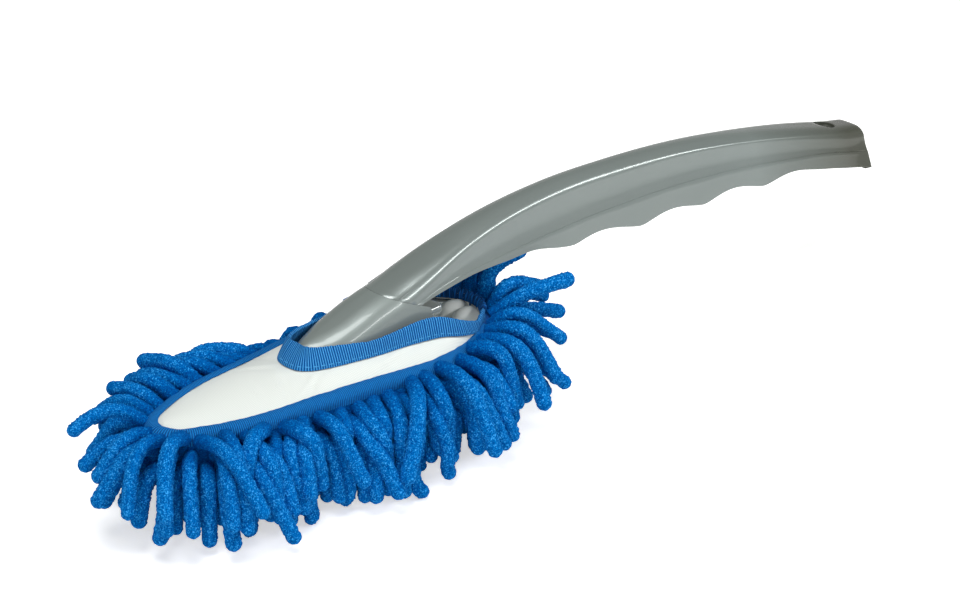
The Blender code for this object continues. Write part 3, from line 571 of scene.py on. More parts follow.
def ribbed_tape(name, light, dark, rib, length, stitched=False):
    """Woven binding tape: cross ribs of thick weft, one after another along the tape's own UV length."""
    finish, tree, shader = new_finish(name, Roughness=0.8, Sheen_Weight=0.08, Sheen_Roughness=0.5,
                                      Sheen_Tint=linear("#5fa8e8"), Specular_IOR_Level=0.15)
    uv = add_node(tree, "ShaderNodeTexCoord").outputs["UV"]
    place = add_node(tree, "ShaderNodeMapping", {"Scale": (length / rib, 1, 1)}, {"Vector": uv})
    ribs = add_node(tree, "ShaderNodeTexWave",
                    {"bands_direction": "X", "wave_profile": "SIN", "Scale": ONE_WAVE},
                    {"Vector": place.outputs["Vector"]}).outputs["Fac"]
    # Fibres about 0.45 mm apart, coarser than real ones so that they show
    fibre = add_node(tree, "ShaderNodeTexNoise", {"Scale": 1.0, "Detail": 2.0}, object_place(tree, 0.45 * MM))
    height = add_node(tree, "ShaderNodeMath", {"operation": "MULTIPLY_ADD", 1: 0.35},
                      {0: fibre.outputs["Fac"], 2: ribs}).outputs[0]
    stops = [(0.3, dark), (0.9, light)]
    if stitched:
        # One line of lock stitches, 3 mm long, near the lower edge of the outside, and paler than the tape
        across = add_node(tree, "ShaderNodeSeparateXYZ", links={0: uv}).outputs["Y"]
        line = add_node(tree, "ShaderNodeMath", {"operation": "COMPARE", 1: 0.09, 2: 0.012},
                        {0: across}).outputs[0]
        stitch = add_node(tree, "ShaderNodeMapping", {"Scale": (length / (3 * MM), 1, 1)}, {"Vector": uv})
        dashes = add_node(tree, "ShaderNodeTexWave", {"bands_direction": "X", "Scale": ONE_WAVE},
                          {"Vector": stitch.outputs["Vector"]}).outputs["Fac"]
        thread = add_node(tree, "ShaderNodeMath", {"operation": "MULTIPLY"}, {0: line, 1: dashes}).outputs[0]
        height = add_node(tree, "ShaderNodeMath", {"operation": "ADD"}, {0: height, 1: thread}).outputs[0]
        stops.append((1.0, linear("#4b9fdc")))
    add_node(tree, "ShaderNodeValToRGB", {"stops": stops}, {"Fac": height}, into=shader.inputs["Base Color"])
    add_node(tree, "ShaderNodeBump", {"Strength": 0.9, "Distance": 0.3 * MM}, {"Height": height},
             into=shader.inputs["Normal"])
    return finish


def chenille_pile(name, light):
    """Microfibre chenille: loose tufts of fine loops, with painted shade deep blue between them and painted
    pale glints on top.
    """
    finish, tree, shader = new_finish(name, Roughness=0.9, Sheen_Weight=0.35, Sheen_Roughness=0.3,
                                      Sheen_Tint=linear("#1f93f0"), Specular_IOR_Level=0.03)
    # Tufts about 1.3 mm wide
    tufts = add_node(tree, "ShaderNodeTexVoronoi", {"feature": "SMOOTH_F1", "Scale": 1.0, "Smoothness": 0.8},
                     object_place(tree, 1.3 * MM))
    # Loops about 0.5 mm apart
    fibre = add_node(tree, "ShaderNodeTexNoise", {"Scale": 1.0, "Detail": 2.0, "Roughness": 0.6},
                     object_place(tree, 0.55 * MM))
    height = add_node(tree, "ShaderNodeMath", {"operation": "MULTIPLY_ADD", 1: -0.22},
                      {0: tufts.outputs["Distance"], 2: fibre.outputs["Fac"]}).outputs[0]
    # Painted shade: strands darken towards their roots, where the packed pile shades them; the attribute is 0
    # there and 1 at the tip
    reach = add_node(tree, "ShaderNodeAttribute", {"attribute_name": "reach"}).outputs["Fac"]
    painted_root_shade = add_node(tree, "ShaderNodeMapRange", {"From Max": 0.35, "To Min": -0.14, "To Max": 0.04},
                   {"Value": reach}).outputs["Result"]
    shade = add_node(tree, "ShaderNodeMath", {"operation": "ADD"}, {0: height, 1: painted_root_shade}).outputs[0]
    # Painted light: the ramp paints shade between the tufts and pale glints on their tops
    stops = ((0.16, linear("#003f84")), (0.38, linear("#005aa8")), (0.5, light), (0.62, linear("#3fa6ee")))
    add_node(tree, "ShaderNodeValToRGB", {"stops": stops}, {"Fac": shade}, into=shader.inputs["Base Color"])
    add_node(tree, "ShaderNodeBump", {"Strength": 0.9, "Distance": 0.5 * MM}, {"Height": height},
             into=shader.inputs["Normal"])
    return finish


def open_cell_foam(name, light, dark):
    """Polyurethane foam: pale, with cells about 0.8 mm wide."""
    finish, tree, shader = new_finish(name, Roughness=0.9)
    cells = add_node(tree, "ShaderNodeTexVoronoi", {"Scale": 1.0}, object_place(tree, 0.8 * MM))
    add_node(tree, "ShaderNodeValToRGB", {"stops": ((0.1, dark), (0.5, light))},
             {"Fac": cells.outputs["Distance"]}, into=shader.inputs["Base Color"])
    add_node(tree, "ShaderNodeBump", {"Distance": 0.3 * MM}, {"Height": cells.outputs["Distance"]},
             into=shader.inputs["Normal"])
    return finish


# Sizes and colours that a user would change

def length_property(name, description, default, low, high):
    """A length with its default and limits, given in millimetres."""
    return bpy.props.FloatProperty(name=name, description=description, default=default * MM, min=low * MM,
                                   max=high * MM, unit="LENGTH")


def colour_property(name, description, hex_colour):
    """A colour with its default given as sRGB hex."""
    return bpy.props.FloatVectorProperty(name=name, description=description, default=linear(hex_colour),
                                         size=4, min=0, max=1, subtype="COLOR")


class HandMopSizes(bpy.types.PropertyGroup):
    """Sizes of the soft parts, and how many strands there are"""

    strand_diameter: length_property(
        "Strand diameter", "Thickness of one chenille strand with its pile", 5.7, 3, 9)
    strands_per_row: bpy.props.IntProperty(
        name="Strands per row", description="Strands in one row round the side of the head",
        default=49, min=20, max=80)
    sole_pitch: length_property("Sole pitch", "Distance between the strands of the sole", 6.4, 4, 12)
    tape_rib: length_property("Tape rib", "Distance between the ribs of the binding tape", 0.95, 0.5, 3)
    thread: length_property("Thread", "Distance between the threads of the white top", 0.7, 0.2, 2)


class HandMopColours(bpy.types.PropertyGroup):
    """Colours of the finishes"""

    plastic: colour_property("Handle", "Silver-grey of the handle and the neck", "#8b9492")
    plastic_dark: colour_property("Handle, darker", "Darker tint of the handle", "#848d8b")
    plate: colour_property("Plate", "Light grey of the plate", "#e9edea")
    cloth: colour_property("White top", "White of the woven top", "#e4e8e4")
    tape: colour_property("Tape", "Blue of the binding tape", "#0f76c2")
    pile: colour_property("Chenille", "Blue of the chenille's tuft tips", "#0176c6")


# Rigid pieces

def seam_place(profile, j):
    """Where the line along the skin that follows point j of a profile meets the slanted seam."""
    ridge = grip_values(SEAM_X)[0] + TOP_CROWN
    x = SEAM_X
    for _ in range(12):
        height = whole_profile(profile(x), j)[1]
        x += (SEAM_X + (ridge - height) * SEAM_SLOPE - x) * 0.5
    return x


def cap_end(piece, x):
    """Fills the open loop of a skin at a place along the handle."""
    choose(piece)
    bpy.ops.object.mode_set(mode="EDIT")
    bpy.ops.mesh.select_all(action="DESELECT")
    bpy.ops.object.mode_set(mode="OBJECT")
    for vertex in piece.data.vertices:
        vertex.select = abs(vertex.co.x - x) < 0.01 * MM
    bpy.ops.object.mode_set(mode="EDIT")
    bpy.ops.mesh.edge_face_add()
    bpy.ops.object.mode_set(mode="OBJECT")


def cut_with(piece, cutter):
    apply_modifier(piece, "BOOLEAN", operation="DIFFERENCE", object=cutter, solver="EXACT")
    bpy.data.objects.remove(cutter)


class MOP_OT_handle(bpy.types.Operator):
    """Handle: one moulded shell, open underneath, with a step line, a finger grip and a hanging hole"""

    bl_idname = "mop.handle"
    bl_label = "Handle"

    def execute(self, context):
        columns = 2 * HALF_POINTS - 2
        starts = [seam_place(handle_profile, j) + SEAM_GAP for j in range(columns + 1)]

        def place(u, v):
            j = round(u * columns)
            x = starts[j] + (HANDLE_END - starts[j]) * v
            y, z = whole_profile(handle_profile(x), j)
            return x, y, z

        shell = bend_grid("handle_shell", columns, 130, place)
        cap_end(shell, HANDLE_END)
        tidy_mesh(shell)
        apply_modifier(shell, "SOLIDIFY", thickness=HANDLE_WALL, offset=-1, use_even_offset=True)
        x = HANDLE_END - HANG_HOLE_INSET
        ridge = grip_values(x)[0]
        deselect()
        bpy.ops.mesh.primitive_cylinder_add(vertices=64, radius=HANG_HOLE_RADIUS, depth=12 * MM,
                                            location=(x, 0, ridge))
        cut_with(shell, bpy.context.object)
        apply_modifier(shell, "BEVEL", width=0.12 * MM, segments=2, limit_method="ANGLE",
                       angle_limit=math.radians(50))
        smooth(shell)
        colours = context.scene.hand_mop_colours
        finish = moulded_abs("silver-grey moulded ABS", colours.plastic, colours.plastic_dark, 0.24,
                             0.03 * MM)
        settle(shell, finish, replaces=["handle_arm"])
        settle(self.ribs(), finish)
        return {"FINISHED"}

    @staticmethod
    def ribs():
        """Cross ribs in the handle's channel, and the block that closes its front."""
        first = SEAM_X + FIRST_RIB
        pitch = (HANDLE_END - HANDLE_WALL - first + RIB_WALL) / (GRIP_RIB_COUNT + 1)
        made = []
        for k in range(GRIP_RIB_COUNT + 1):
            x = first + k * pitch - RIB_WALL / 2
            length = RIB_WALL if k else FRONT_BLOCK_LENGTH
            deselect()
            bpy.ops.mesh.primitive_cube_add(size=1, location=(x, 0, 0))
            rib = bpy.context.object
            rib.data.transform(rib.matrix_world)
            rib.matrix_world.identity()
            for vertex in rib.data.vertices:
                side, end, up = vertex.co.y > 0, vertex.co.x > x, vertex.co.z > 0
                place = x + (length / 2 if end else -length / 2)
                ridge, width, _, low = grip_values(place)
                bottom = low + (ridge - low) / 3 if k else low + FRONT_BLOCK_LIFT
                height = ridge - HANDLE_WALL * WALL_ABOVE_RIB if up else bottom
                half = width + SIDE_FLARE_SHARE * (ridge - height) - HANDLE_WALL * WALL_BESIDE_RIB
                vertex.co = (place, half if side else -half, height)
            made.append(rib)
        choose(made[0])
        for rib in made:
            rib.select_set(True)
        bpy.ops.object.join()
        ribs = bpy.context.object
        ribs.name = ribs.data.name = "handle_ribs"
        return ribs


class MOP_OT_neck(bpy.types.Operator):
    """Neck: the wedge that stands in the cover's opening and holds the handle"""

    bl_idname = "mop.neck"
    bl_label = "Neck"

    def execute(self, context):
        columns = 2 * HALF_POINTS - 2
        front = NECK_FRONT + NECK_SET_BACK
        ends = [min(seam_place(neck_profile, j), NECK_REAR) for j in range(columns + 1)]

        def place(u, v):
            j = round(u * columns)
            x = front + (ends[j] - front) * v ** 1.3
            y, z = whole_profile(neck_profile(x), j)
            return x, y, z

        shell = bend_grid("neck_shell", columns, 40, place)
        cap_end(shell, front)
        tidy_mesh(shell)
        apply_modifier(shell, "SOLIDIFY", thickness=HANDLE_WALL, offset=-1, use_even_offset=True)
        smooth(shell)
        colours = context.scene.hand_mop_colours
        finish = moulded_abs("silver-grey moulded ABS, neck", colours.plastic, colours.plastic_dark, 0.44,
                             0.03 * MM)
        settle(shell, finish, replaces=["neck_socket"])
        return {"FINISHED"}


class MOP_OT_tongue(bpy.types.Operator):
    """Release tongue: the snap tongue whose rounded end is the thumb tab under the handle"""

    bl_idname = "mop.tongue"
    bl_label = "Release tongue"

    def execute(self, context):
        low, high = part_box("release_tongue")
        low, high = low - SHIFT, high - SHIFT
        low.z -= TAB_DROP
        high.z -= TAB_DROP
        middle = (low + high) / 2
        width = high.y - low.y
        underside = low.z + HOOK_DEPTH
        tab_middle = high.x - TAB_LENGTH / 2
        deselect()
        bpy.ops.mesh.primitive_cube_add(size=1, location=(tab_middle, middle.y, (underside + high.z) / 2))
        piece = bpy.context.object
        piece.name = piece.data.name = "thumb_tongue"
        piece.scale = (TAB_LENGTH, width, high.z - underside)
        bpy.ops.object.transform_apply(location=True, rotation=False, scale=True)
        in_edit_mode(piece, (bpy.ops.mesh.bevel, {"offset": TAB_ROUND, "segments": 6, "affect": "EDGES"}))
        for vertex in piece.data.vertices:
            reach = max((vertex.co.x - high.x) / TAB_TAPER_LENGTH + 1, 0)
            vertex.co.y = middle.y + (vertex.co.y - middle.y) * (1 - TAB_TAPER_SHARE * reach ** 2)
        deselect()
        bpy.ops.mesh.primitive_cube_add(size=1, location=((low.x + tab_middle) / 2, middle.y,
                                                         underside + ARM_THICK / 2))
        arm = bpy.context.object
        arm.scale = (tab_middle - low.x, width * ARM_WIDTH_SHARE, ARM_THICK)
        bpy.ops.object.transform_apply(location=True, rotation=False, scale=True)
        in_edit_mode(arm, (bpy.ops.mesh.bevel, {"offset": ARM_ROUND, "segments": 2, "affect": "EDGES"}))
        choose(piece)
        arm.select_set(True)
        bpy.ops.object.join()
        smooth(piece, 60)
        colours = context.scene.hand_mop_colours
        finish = moulded_abs("glossy moulded ABS, tongue", linear("#c9d0cf"), colours.plastic, 0.14,
                             0.02 * MM)
        settle(piece, finish, body="tongue", replaces=["release_tongue"])
        return {"FINISHED"}


class MOP_OT_plate(bpy.types.Operator):
    """Plate inside the cover: a boat-shaped shell with two round lobes at the stern, and its three screws"""

    bl_idname = "mop.plate"
    bl_label = "Plate"

    def execute(self, context):
        edge = rim_curve(PLATE_OUTSET)
        skirt_rows = 6
        rows = 72

        def place(u, v):
            x = -PLATE_OUTSET + (RIM_LENGTH + 2 * PLATE_OUTSET) * (1 - math.cos(math.pi * u)) / 2
            half = edge.half_width(x)
            k = v * rows
            if skirt_rows <= k <= rows - skirt_rows:
                y = half * (2 * (k - skirt_rows) / (rows - 2 * skirt_rows) - 1)
                return x, y, deck_height(x, y) + lobe_height(x, y)
            down = skirt_rows - k if k < skirt_rows else k - rows + skirt_rows
            y = -half if k < skirt_rows else half
            return x, y, RIM_HEIGHT - PLATE_EDGE_DROP - (PLATE_DEPTH - PLATE_EDGE_DROP) * down / skirt_rows

        shell = bend_grid("plate_shell", 200, rows, place)
        tidy_mesh(shell, 0.05 * MM)
        apply_modifier(shell, "SOLIDIFY", thickness=PLATE_WALL, offset=-1)
        smooth(shell, 50)
        colours = context.scene.hand_mop_colours
        finish = moulded_pp("light grey moulded PP", colours.plate, linear("#d9dedb"))
        settle(shell, finish, replaces=["head_plate"])
        steel = zinc_steel("zinc plated steel")
        for name in ("plate_screw_front", "plate_screw_left", "plate_screw_right"):
            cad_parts[name].data.materials.clear()
            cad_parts[name].data.materials.append(steel)
        return {"FINISHED"}


# Cloth and tapes

def waviness(x, y, z, wavelength, seed=0.0):
    """Smooth random value between about -1 and 1 that changes over a wavelength."""
    return noise.noise(Vector((x / wavelength + seed, y / wavelength, z / wavelength)))


# Soft creases in the white top: middle x and y, direction in degrees, length, width and depth
CREASES = ((47 * MM, -10 * MM, 62, 9 * MM, 1.8 * MM, 0.5 * MM),
           (55 * MM, -15.5 * MM, 25, 8 * MM, 1.6 * MM, 0.4 * MM),
           (38 * MM, -6 * MM, 74, 7 * MM, 1.5 * MM, 0.3 * MM),
           (50 * MM, 8 * MM, -58, 8 * MM, 1.8 * MM, 0.4 * MM),
           (92 * MM, -20.5 * MM, 8, 12 * MM, 1.5 * MM, 0.3 * MM),
           (96 * MM, 20.5 * MM, -6, 12 * MM, 1.5 * MM, 0.3 * MM))


def crease_height(x, y):
    """Height that the creases add: each is a low fold with a valley beside it."""
    total = 0.0
    for middle_x, middle_y, degrees, length, width, depth in CREASES:
        turn = math.radians(degrees)
        along = (x - middle_x) * math.cos(turn) + (y - middle_y) * math.sin(turn)
        aside = ((y - middle_y) * math.cos(turn) - (x - middle_x) * math.sin(turn)) / width
        total += depth * 2.3 * aside * math.exp(-aside * aside - (along / length) ** 2)
    return total


# White top: how far it goes under the tape at the rim, and how high it waves between its edges and along them
TOP_OVERLAP = 1.4 * MM
TOP_THICK = 0.4 * MM
SLACK_WAVE = 0.28 * MM
EDGE_WAVE = 0.22 * MM


class MOP_OT_white_top(bpy.types.Operator):
    """White woven top of the cover, stretched between the seam at the rim and the opening"""

    bl_idname = "mop.white_top"
    bl_label = "White top"

    def execute(self, context):
        outer = rim_curve(TOP_OVERLAP)

        def place(u, v):
            rim, edge = outer.point(u), OPENING.point(u)
            x, y = rim + (edge - rim) * v
            height = cloth_height(x, y) - CLOTH / 2
            slack = math.sin(math.pi * v)
            height += SLACK_WAVE * slack * waviness(x, y, 0, 16 * MM)
            height += EDGE_WAVE * (1 - slack) * waviness(x, y, 0, 5 * MM, 40)
            return x, y, height + crease_height(x, y) * min(slack * 2, 1)

        piece = bend_grid("white_top", 320, 44, place)
        tidy_mesh(piece)
        apply_modifier(piece, "SOLIDIFY", thickness=TOP_THICK, offset=0)
        smooth(piece)
        sizes, colours = context.scene.hand_mop_sizes, context.scene.hand_mop_colours
        finish = woven_polyester("white woven polyester", colours.cloth, linear("#d8ddd9"), sizes.thread)
        settle(piece, finish, replaces=["cover_panel"])
        return {"FINISHED"}


# Tapes: their thickness, and the pitch of the elastic's puckers
TAPE_THICK = 0.35 * MM
PUCKER_PITCH = 2.6 * MM


def tape(name, curve, start, end, profile, across, along):
    """A tape that runs along a share of a plan curve; profile(v, x, y, share) gives its outset and height."""
    def place(u, v):
        share = start + (end - start) * u
        point = curve.point(share)
        outset, height = profile(v, *point, share)
        x, y = point + outset * curve.outward(share)
        return x, y, height

    piece = bend_grid(name, along, across, place)
    tidy_mesh(piece, 0.001 * MM)
    apply_modifier(piece, "SOLIDIFY", thickness=TAPE_THICK, offset=0)
    smooth(piece, 60)
    return piece


# The opening's tape along the way round from the front by the left side: height and inward lean, in mm
TAPE_HEIGHTS = ((0, 7.6), (.05, 7), (.1, 6.2), (.165, 5.4), (.21, 6.2), (.27, 7.2), (.33, 5.8), (.38, 4.4),
                (.43, 3.8), (.5, 3.4), (.55, 4), (.62, 6), (.7, 6.8), (.85, 6.4), (.93, 8), (1, 7.6))
TAPE_LEANS = ((0, 4.8), (.04, 4.4), (.09, 3), (.165, 1.2), (.22, 1.4), (.3, 2.1), (.4, .6), (.5, -.6),
              (.6, 1), (.8, 1.5), (.9, 2.2), (.95, 2.8), (1, 4.8))

# Shares of the tape's width that stand up on each side of the edge, and that turn over it, how the lean grows
# with the height, and how much higher the tape's inside ends
FOLD_SIDE = 0.46
FOLD_TURN = 0.08
LEAN_POWER = 1.4
INSIDE_FOOT_RISE = 0.4 * MM

# Tape at the rim: it lies flat on the white top, rolls over the rim and hangs as a hem.
# SEAM_FLAT and SEAM_ROLL are the shares of its width up to the hem
SEAM_FLAT = 0.3
SEAM_ROLL = 0.45
SEAM_RADIUS = 3.2 * MM
SEAM_INSET = 1 * MM
SEAM_INSIDE = 0.4 * MM
SEAM_LIFT = 0.35 * MM
SEAM_RISE = 0.25 * MM
HEM_DROP = 0.9 * MM
RIM_TAPE_GAP = 0.05 * MM


def upright_fold(scale, thick, roll):
    """Profile of a tape folded over the opening's edge: up outside, over the top and down inside."""
    def profile(v, x, y, share):
        foot = max(cloth_height(x, y), cloth_height(x, 0)) + 0.1 * MM
        sway = roll * waviness(x, y, share * 3, 11 * MM, 7)
        height = read_shares(TAPE_HEIGHTS, share % 1) * scale * MM
        height *= 1 + 0.04 * waviness(x, y, 0, 14 * MM, 3)
        lean = read_shares(TAPE_LEANS, share % 1) * MM
        rise = height - thick / 2
        if v < FOLD_SIDE:
            t = v / FOLD_SIDE
            flare = 0.5 * MM * (1 - t) ** 2
            return thick / 2 + flare - lean * t ** LEAN_POWER + sway * t, foot + rise * t
        if v > 1 - FOLD_SIDE:
            t = (1 - v) / FOLD_SIDE
            foot += INSIDE_FOOT_RISE
            return -thick / 2 - lean * t ** LEAN_POWER + sway * t, foot + (rise - INSIDE_FOOT_RISE) * t
        turn = (v - FOLD_SIDE) / FOLD_TURN * math.pi
        return thick / 2 * math.cos(turn) - lean + sway, foot + rise + thick / 2 * math.sin(turn)
    return profile


def seam_fold(v, x, y, _):
    """Profile of the tape over the seam between white top and chenille: flat on the top, then rolled down."""
    top = max(RIM_HEIGHT - PLATE_EDGE_DROP + COVER_SLACK + CLOTH, cloth_height(x, y)) + SEAM_LIFT
    flat = EDGE_TAPE_REACH - SEAM_INSET - SEAM_RADIUS
    ruffle = 0.35 * MM * waviness(x, y, 0, 6 * MM, 21) + 0.2 * MM * waviness(x, y, 0, 2.2 * MM, 5)
    if v < SEAM_FLAT:
        return flat * v / SEAM_FLAT - SEAM_INSIDE, top + SEAM_RISE * v / SEAM_FLAT + ruffle
    turn = min((v - SEAM_FLAT) / SEAM_ROLL, 1) * math.pi / 2
    hem = max(v - SEAM_FLAT - SEAM_ROLL, 0) / (1 - SEAM_FLAT - SEAM_ROLL)
    drop = hem * (top - SEAM_RADIUS - (RIM_HEIGHT - EDGE_TAPE_DROP - HEM_DROP))
    outset = flat + SEAM_RADIUS * math.sin(turn) + ruffle
    return outset, top + SEAM_RISE - SEAM_RADIUS * (1 - math.cos(turn)) - drop


class MOP_OT_tapes(bpy.types.Operator):
    """Binding tapes: round the opening, its elastic, and over the seams at the rim and the stern"""

    bl_idname = "mop.tapes"
    bl_label = "Tapes"

    def execute(self, context):
        sizes, colours = context.scene.hand_mop_sizes, context.scene.hand_mop_colours
        around = 1 - TAIL_SHARE
        gap = GAP / OPENING.length
        run = 1 + TAIL_SHARE - around

        binding = tape("opening_tape", OPENING, around + gap, 1 + TAIL_SHARE - gap,
                       upright_fold(scale=1, thick=1.3 * MM, roll=0.5 * MM), across=26, along=240)
        ribbed = ribbed_tape("ribbed polyester tape", colours.tape, linear("#04468c"), sizes.tape_rib,
                             run * OPENING.length, stitched=True)
        settle(binding, ribbed, replaces=["opening_binding"])

        def gathered(v, x, y, share):
            outset, height = upright_fold(scale=1.2, thick=1.5 * MM, roll=0.8 * MM)(v, x, y, share)
            turn = share * OPENING.length / PUCKER_PITCH * 2 * math.pi
            pucker = math.sin(turn + 3 * waviness(x, y, 0, 9 * MM))
            free = math.sin(math.pi * v) ** 0.5
            return outset + 0.6 * MM * pucker * free, height + 0.4 * MM * pucker * free

        elastic = tape("opening_elastic_edge", OPENING, TAIL_SHARE + gap, around - gap, gathered,
                       across=20, along=150)
        smooth_tape = ribbed_tape("gathered elastic tape", linear("#0f5ca6"), linear("#08396f"), 0.8 * MM,
                                  (around - TAIL_SHARE) * OPENING.length)
        settle(elastic, smooth_tape, replaces=["opening_elastic"])

        gap = RIM_TAPE_GAP / RIM.length
        side_length = TAIL_SHARE * RIM.length
        edge_finish = ribbed_tape("ribbed polyester tape, rim", linear("#0f7cca"), linear("#044488"),
                                  sizes.tape_rib * 0.8, side_length)
        for name, node, start, end in (("rim_tape_left", "edge_binding_left", gap, TAIL_SHARE - gap),
                                       ("rim_tape_right", "edge_binding_right", around + gap, 1 - gap)):
            piece = tape(name, RIM, start, end, seam_fold, across=14, along=170)
            settle(piece, edge_finish, replaces=[node])

        stern = tape("stern_tape", RIM, TAIL_SHARE + gap, around - gap, seam_fold, across=14, along=60)
        # Painted shade: the stern tape is a darker blue than the other tapes, for the shade at the stern
        stern_tape_painted_shade = ribbed_tape("smooth tape, dark with painted stern shade", linear("#0e4f96"), linear("#0a3d7c"), 0.7 * MM,
                            (around - TAIL_SHARE) * RIM.length)
        settle(stern, stern_tape_painted_shade, replaces=["tail_tape"])
        return {"FINISHED"}


# Chenille

SECTORS = (("nose", -.06, .06), ("left_front", .06, .25), ("left_rear", .25, .44), ("tail", .44, .56),
           ("right_rear", .56, .75), ("right_front", .75, .94))
# Rows from the top: drop of the roots below the rim, and length of a strand
ROWS = ((5.2 * MM, 43 * MM), (9 * MM, 42 * MM), (13.5 * MM, 34 * MM), (17.8 * MM, 25 * MM))
# How much of the pile's spread, standing up and climbing over the tape each row has
ROW_SPREADS = (1, 0.85, 0.5, 0.3)
ROW_STANDS = (1, 0.5, 0, 0)
ROW_LIFTS = (1, 0.6, 0.2, 0)
# These tables go along the way round from the nose by the left side, and this one says how long strands are
LENGTH_SHARES = ((0, .8), (.03, .94), (.06, 1.05), (.12, 1.04), (.36, 1.04), (.43, .98), (.5, .88), (.7, .86),
                 (.8, .82), (.95, .78), (1, .8))
# How far the pile stands out instead of hanging
SPREAD_SHARES = ((0, .72), (.03, .6), (.07, .46), (.14, .3), (.27, .3), (.33, .4), (.38, .55), (.44, .75),
                 (.5, 1), (.54, .95), (.6, .6), (.66, .2), (.75, .15), (.78, .6), (.82, .92), (.95, .88),
                 (1, .72))
# How far the pile is turned anticlockwise seen from above, in degrees: towards the stern on the left side and
# towards the nose on the right
SWEEP_SHARES = ((0, 0), (.26, 0), (.33, 14), (.4, 22), (.46, 12), (.5, 0), (.74, 0), (.78, 34), (.86, 32),
                (.91, 14), (.96, 0), (1, 0))
# How tangled the pile is
TANGLE_SHARES = ((0, .8), (.08, .9), (.14, 1.3), (.26, 1.3), (.32, 1), (.38, .85), (.44, .6), (.5, 1),
                 (.6, .8), (.76, .5), (1, .8))
# How far the upper rows stand up before they bend, most of all at the stern
STAND_SHARES = ((0, .1), (.36, 0), (.42, .2), (.47, 1), (.57, 1), (.61, .5), (.68, 0), (.8, 0), (1, .1))
# How far the roots of the upper rows climb over the tape at the rim, in mm
LIFT_SHARES = ((0, 3.6), (.06, 3.4), (.11, 2), (.16, 0), (.26, 0), (.3, 2.4), (.34, 4.4), (.5, 4.8), (.6, 4),
               (.7, .5), (.76, .5), (.8, 3), (.95, 3.4), (1, 3.6))
RING_POINTS = 18
STRAND_RINGS = 52
STRAND_NODES = 13
# Tufts stand out of a strand by noise of this depth and size, and every second point a little more
TUFT_DEPTH = 0.48 * MM
TUFT_SIZE = 1.1 * MM
TUFT_STEP = 0.1 * MM

# Settling: strands fall a little at each step, are drawn back to their first shape, most of all at their
# roots, and push each other apart when they are nearer than a share of their thickness
SETTLING_STEPS = 90
FALL_PER_STEP = 0.055 * MM
SHAPE_PULL = 0.10
SHAPE_PULL_LOST_AT_TIP = 0.55
NEIGHBOUR_REACH = 9 * MM
STEPS_PER_SEARCH = 6
SOFT_THICKNESS = 0.88
PUSH_SHARE = 0.45
RIM_POINTS = 240

# Gap between the backing slices of two sectors
SECTOR_GAP = 0.03 * MM

SOLE_CUTS = (("front", 0, .36), ("middle", .36, .69), ("rear", .69, 1))
SOLE_RING_POINTS = 8
SOLE_RINGS = 13
SOLE_SWAY = 1.4 * MM
# Columns of a grid of even triangles stand this share of its pitch apart
COLUMN_SHARE = 0.866


def tube(path, radius, points, phase):
    """Rings of a strand along a smooth path of points, thin at both ends, with tufts that stand out of it."""
    path = np.array(path)
    ahead = np.gradient(path, axis=0)
    ahead /= np.linalg.norm(ahead, axis=1, keepdims=True)
    aside = np.cross(ahead, (0.02, 0.03, 1.0))
    # A strand that goes straight up or down somewhere needs another side to start from
    if (np.linalg.norm(aside, axis=1) < 0.15).any():
        aside = np.cross(ahead, (math.cos(phase), math.sin(phase), 0.1))
    aside /= np.linalg.norm(aside, axis=1, keepdims=True)
    up = np.cross(aside, ahead)
    spans = np.linalg.norm(np.diff(path, axis=0), axis=1)
    left = np.concatenate([np.cumsum(spans[::-1])[::-1], [0]])
    near_tip = np.clip(left / radius, 0, 1)
    width = radius * np.sqrt(1 - (1 - near_tip) ** 2 * 0.97)
    turns = np.arange(points) / points * 2 * math.pi
    rings = []
    for k in range(len(path)):
        ring = []
        for m, turn in enumerate(turns + (k % 2) * math.pi / points):
            out = math.cos(turn) * aside[k] + math.sin(turn) * up[k]
            base = path[k] + out * width[k]
            tuft = TUFT_DEPTH * noise.noise(Vector(base / TUFT_SIZE)) + TUFT_STEP * (1 if (k + m) % 2 else -1)
            ring.append(base + out * tuft * near_tip[k])
        rings.append(ring)
    return rings


def bar_faces(rings, first):
    """Faces of a closed bar whose points, from the first one on, are rings of four."""
    faces = []
    for k in range(rings - 1):
        for m in range(4):
            a, b = first + 4 * k + m, first + 4 * k + (m + 1) % 4
            faces.append((a, b, b + 4, a + 4))
    last = first + 4 * (rings - 1)
    return faces + [tuple(first + m for m in (0, 1, 2, 3)), tuple(last + m for m in (3, 2, 1, 0))]


def pile_mesh(name, strands, points, backing):
    """One mesh of closed strands and their backing; its attribute says how far along a strand a point is."""
    coords, faces, reach = [], [], []
    for rings in strands:
        first = len(coords)
        for k, ring in enumerate(rings):
            coords += ring
            reach += [k / (len(rings) - 1)] * points
        for k in range(len(rings) - 1):
            for m in range(points):
                a, b = first + k * points + m, first + k * points + (m + 1) % points
                faces.append((a, b, b + points, a + points))
        faces.append(tuple(first + m for m in reversed(range(points))))
        last = first + (len(rings) - 1) * points
        faces.append(tuple(last + m for m in range(points)))
    first = len(coords)
    coords += backing
    faces += bar_faces(len(backing) // 4, first)
    reach += [0.0] * len(backing)
    mesh = bpy.data.meshes.new(name)
    mesh.from_pydata([tuple(c) for c in coords], [], faces)
    mesh.attributes.new("reach", "FLOAT", "POINT").data.foreach_set("value", reach)
    mesh.update()
    piece = bpy.data.objects.new(name, mesh)
    bpy.context.scene.collection.objects.link(piece)
    tidy_mesh(piece, 0.0001 * MM)
    mesh.shade_smooth()
    return piece


def band_slice(curve, start, end, steps=24):
    """Backing behind a sector's strands, as rings of four points."""
    top, bottom = RIM_HEIGHT - BAND_TOP_DROP, RIM_HEIGHT - SOLE_DROP - SOLE
    coords = []
    for k in range(steps + 1):
        share = start + (end - start) * k / steps
        point, outward = curve.point(share), curve.outward(share)
        for outset, height in ((0, top), (-BAND, top), (-BAND, bottom), (0, bottom)):
            coords.append((*(point + outset * outward), height))
    return coords


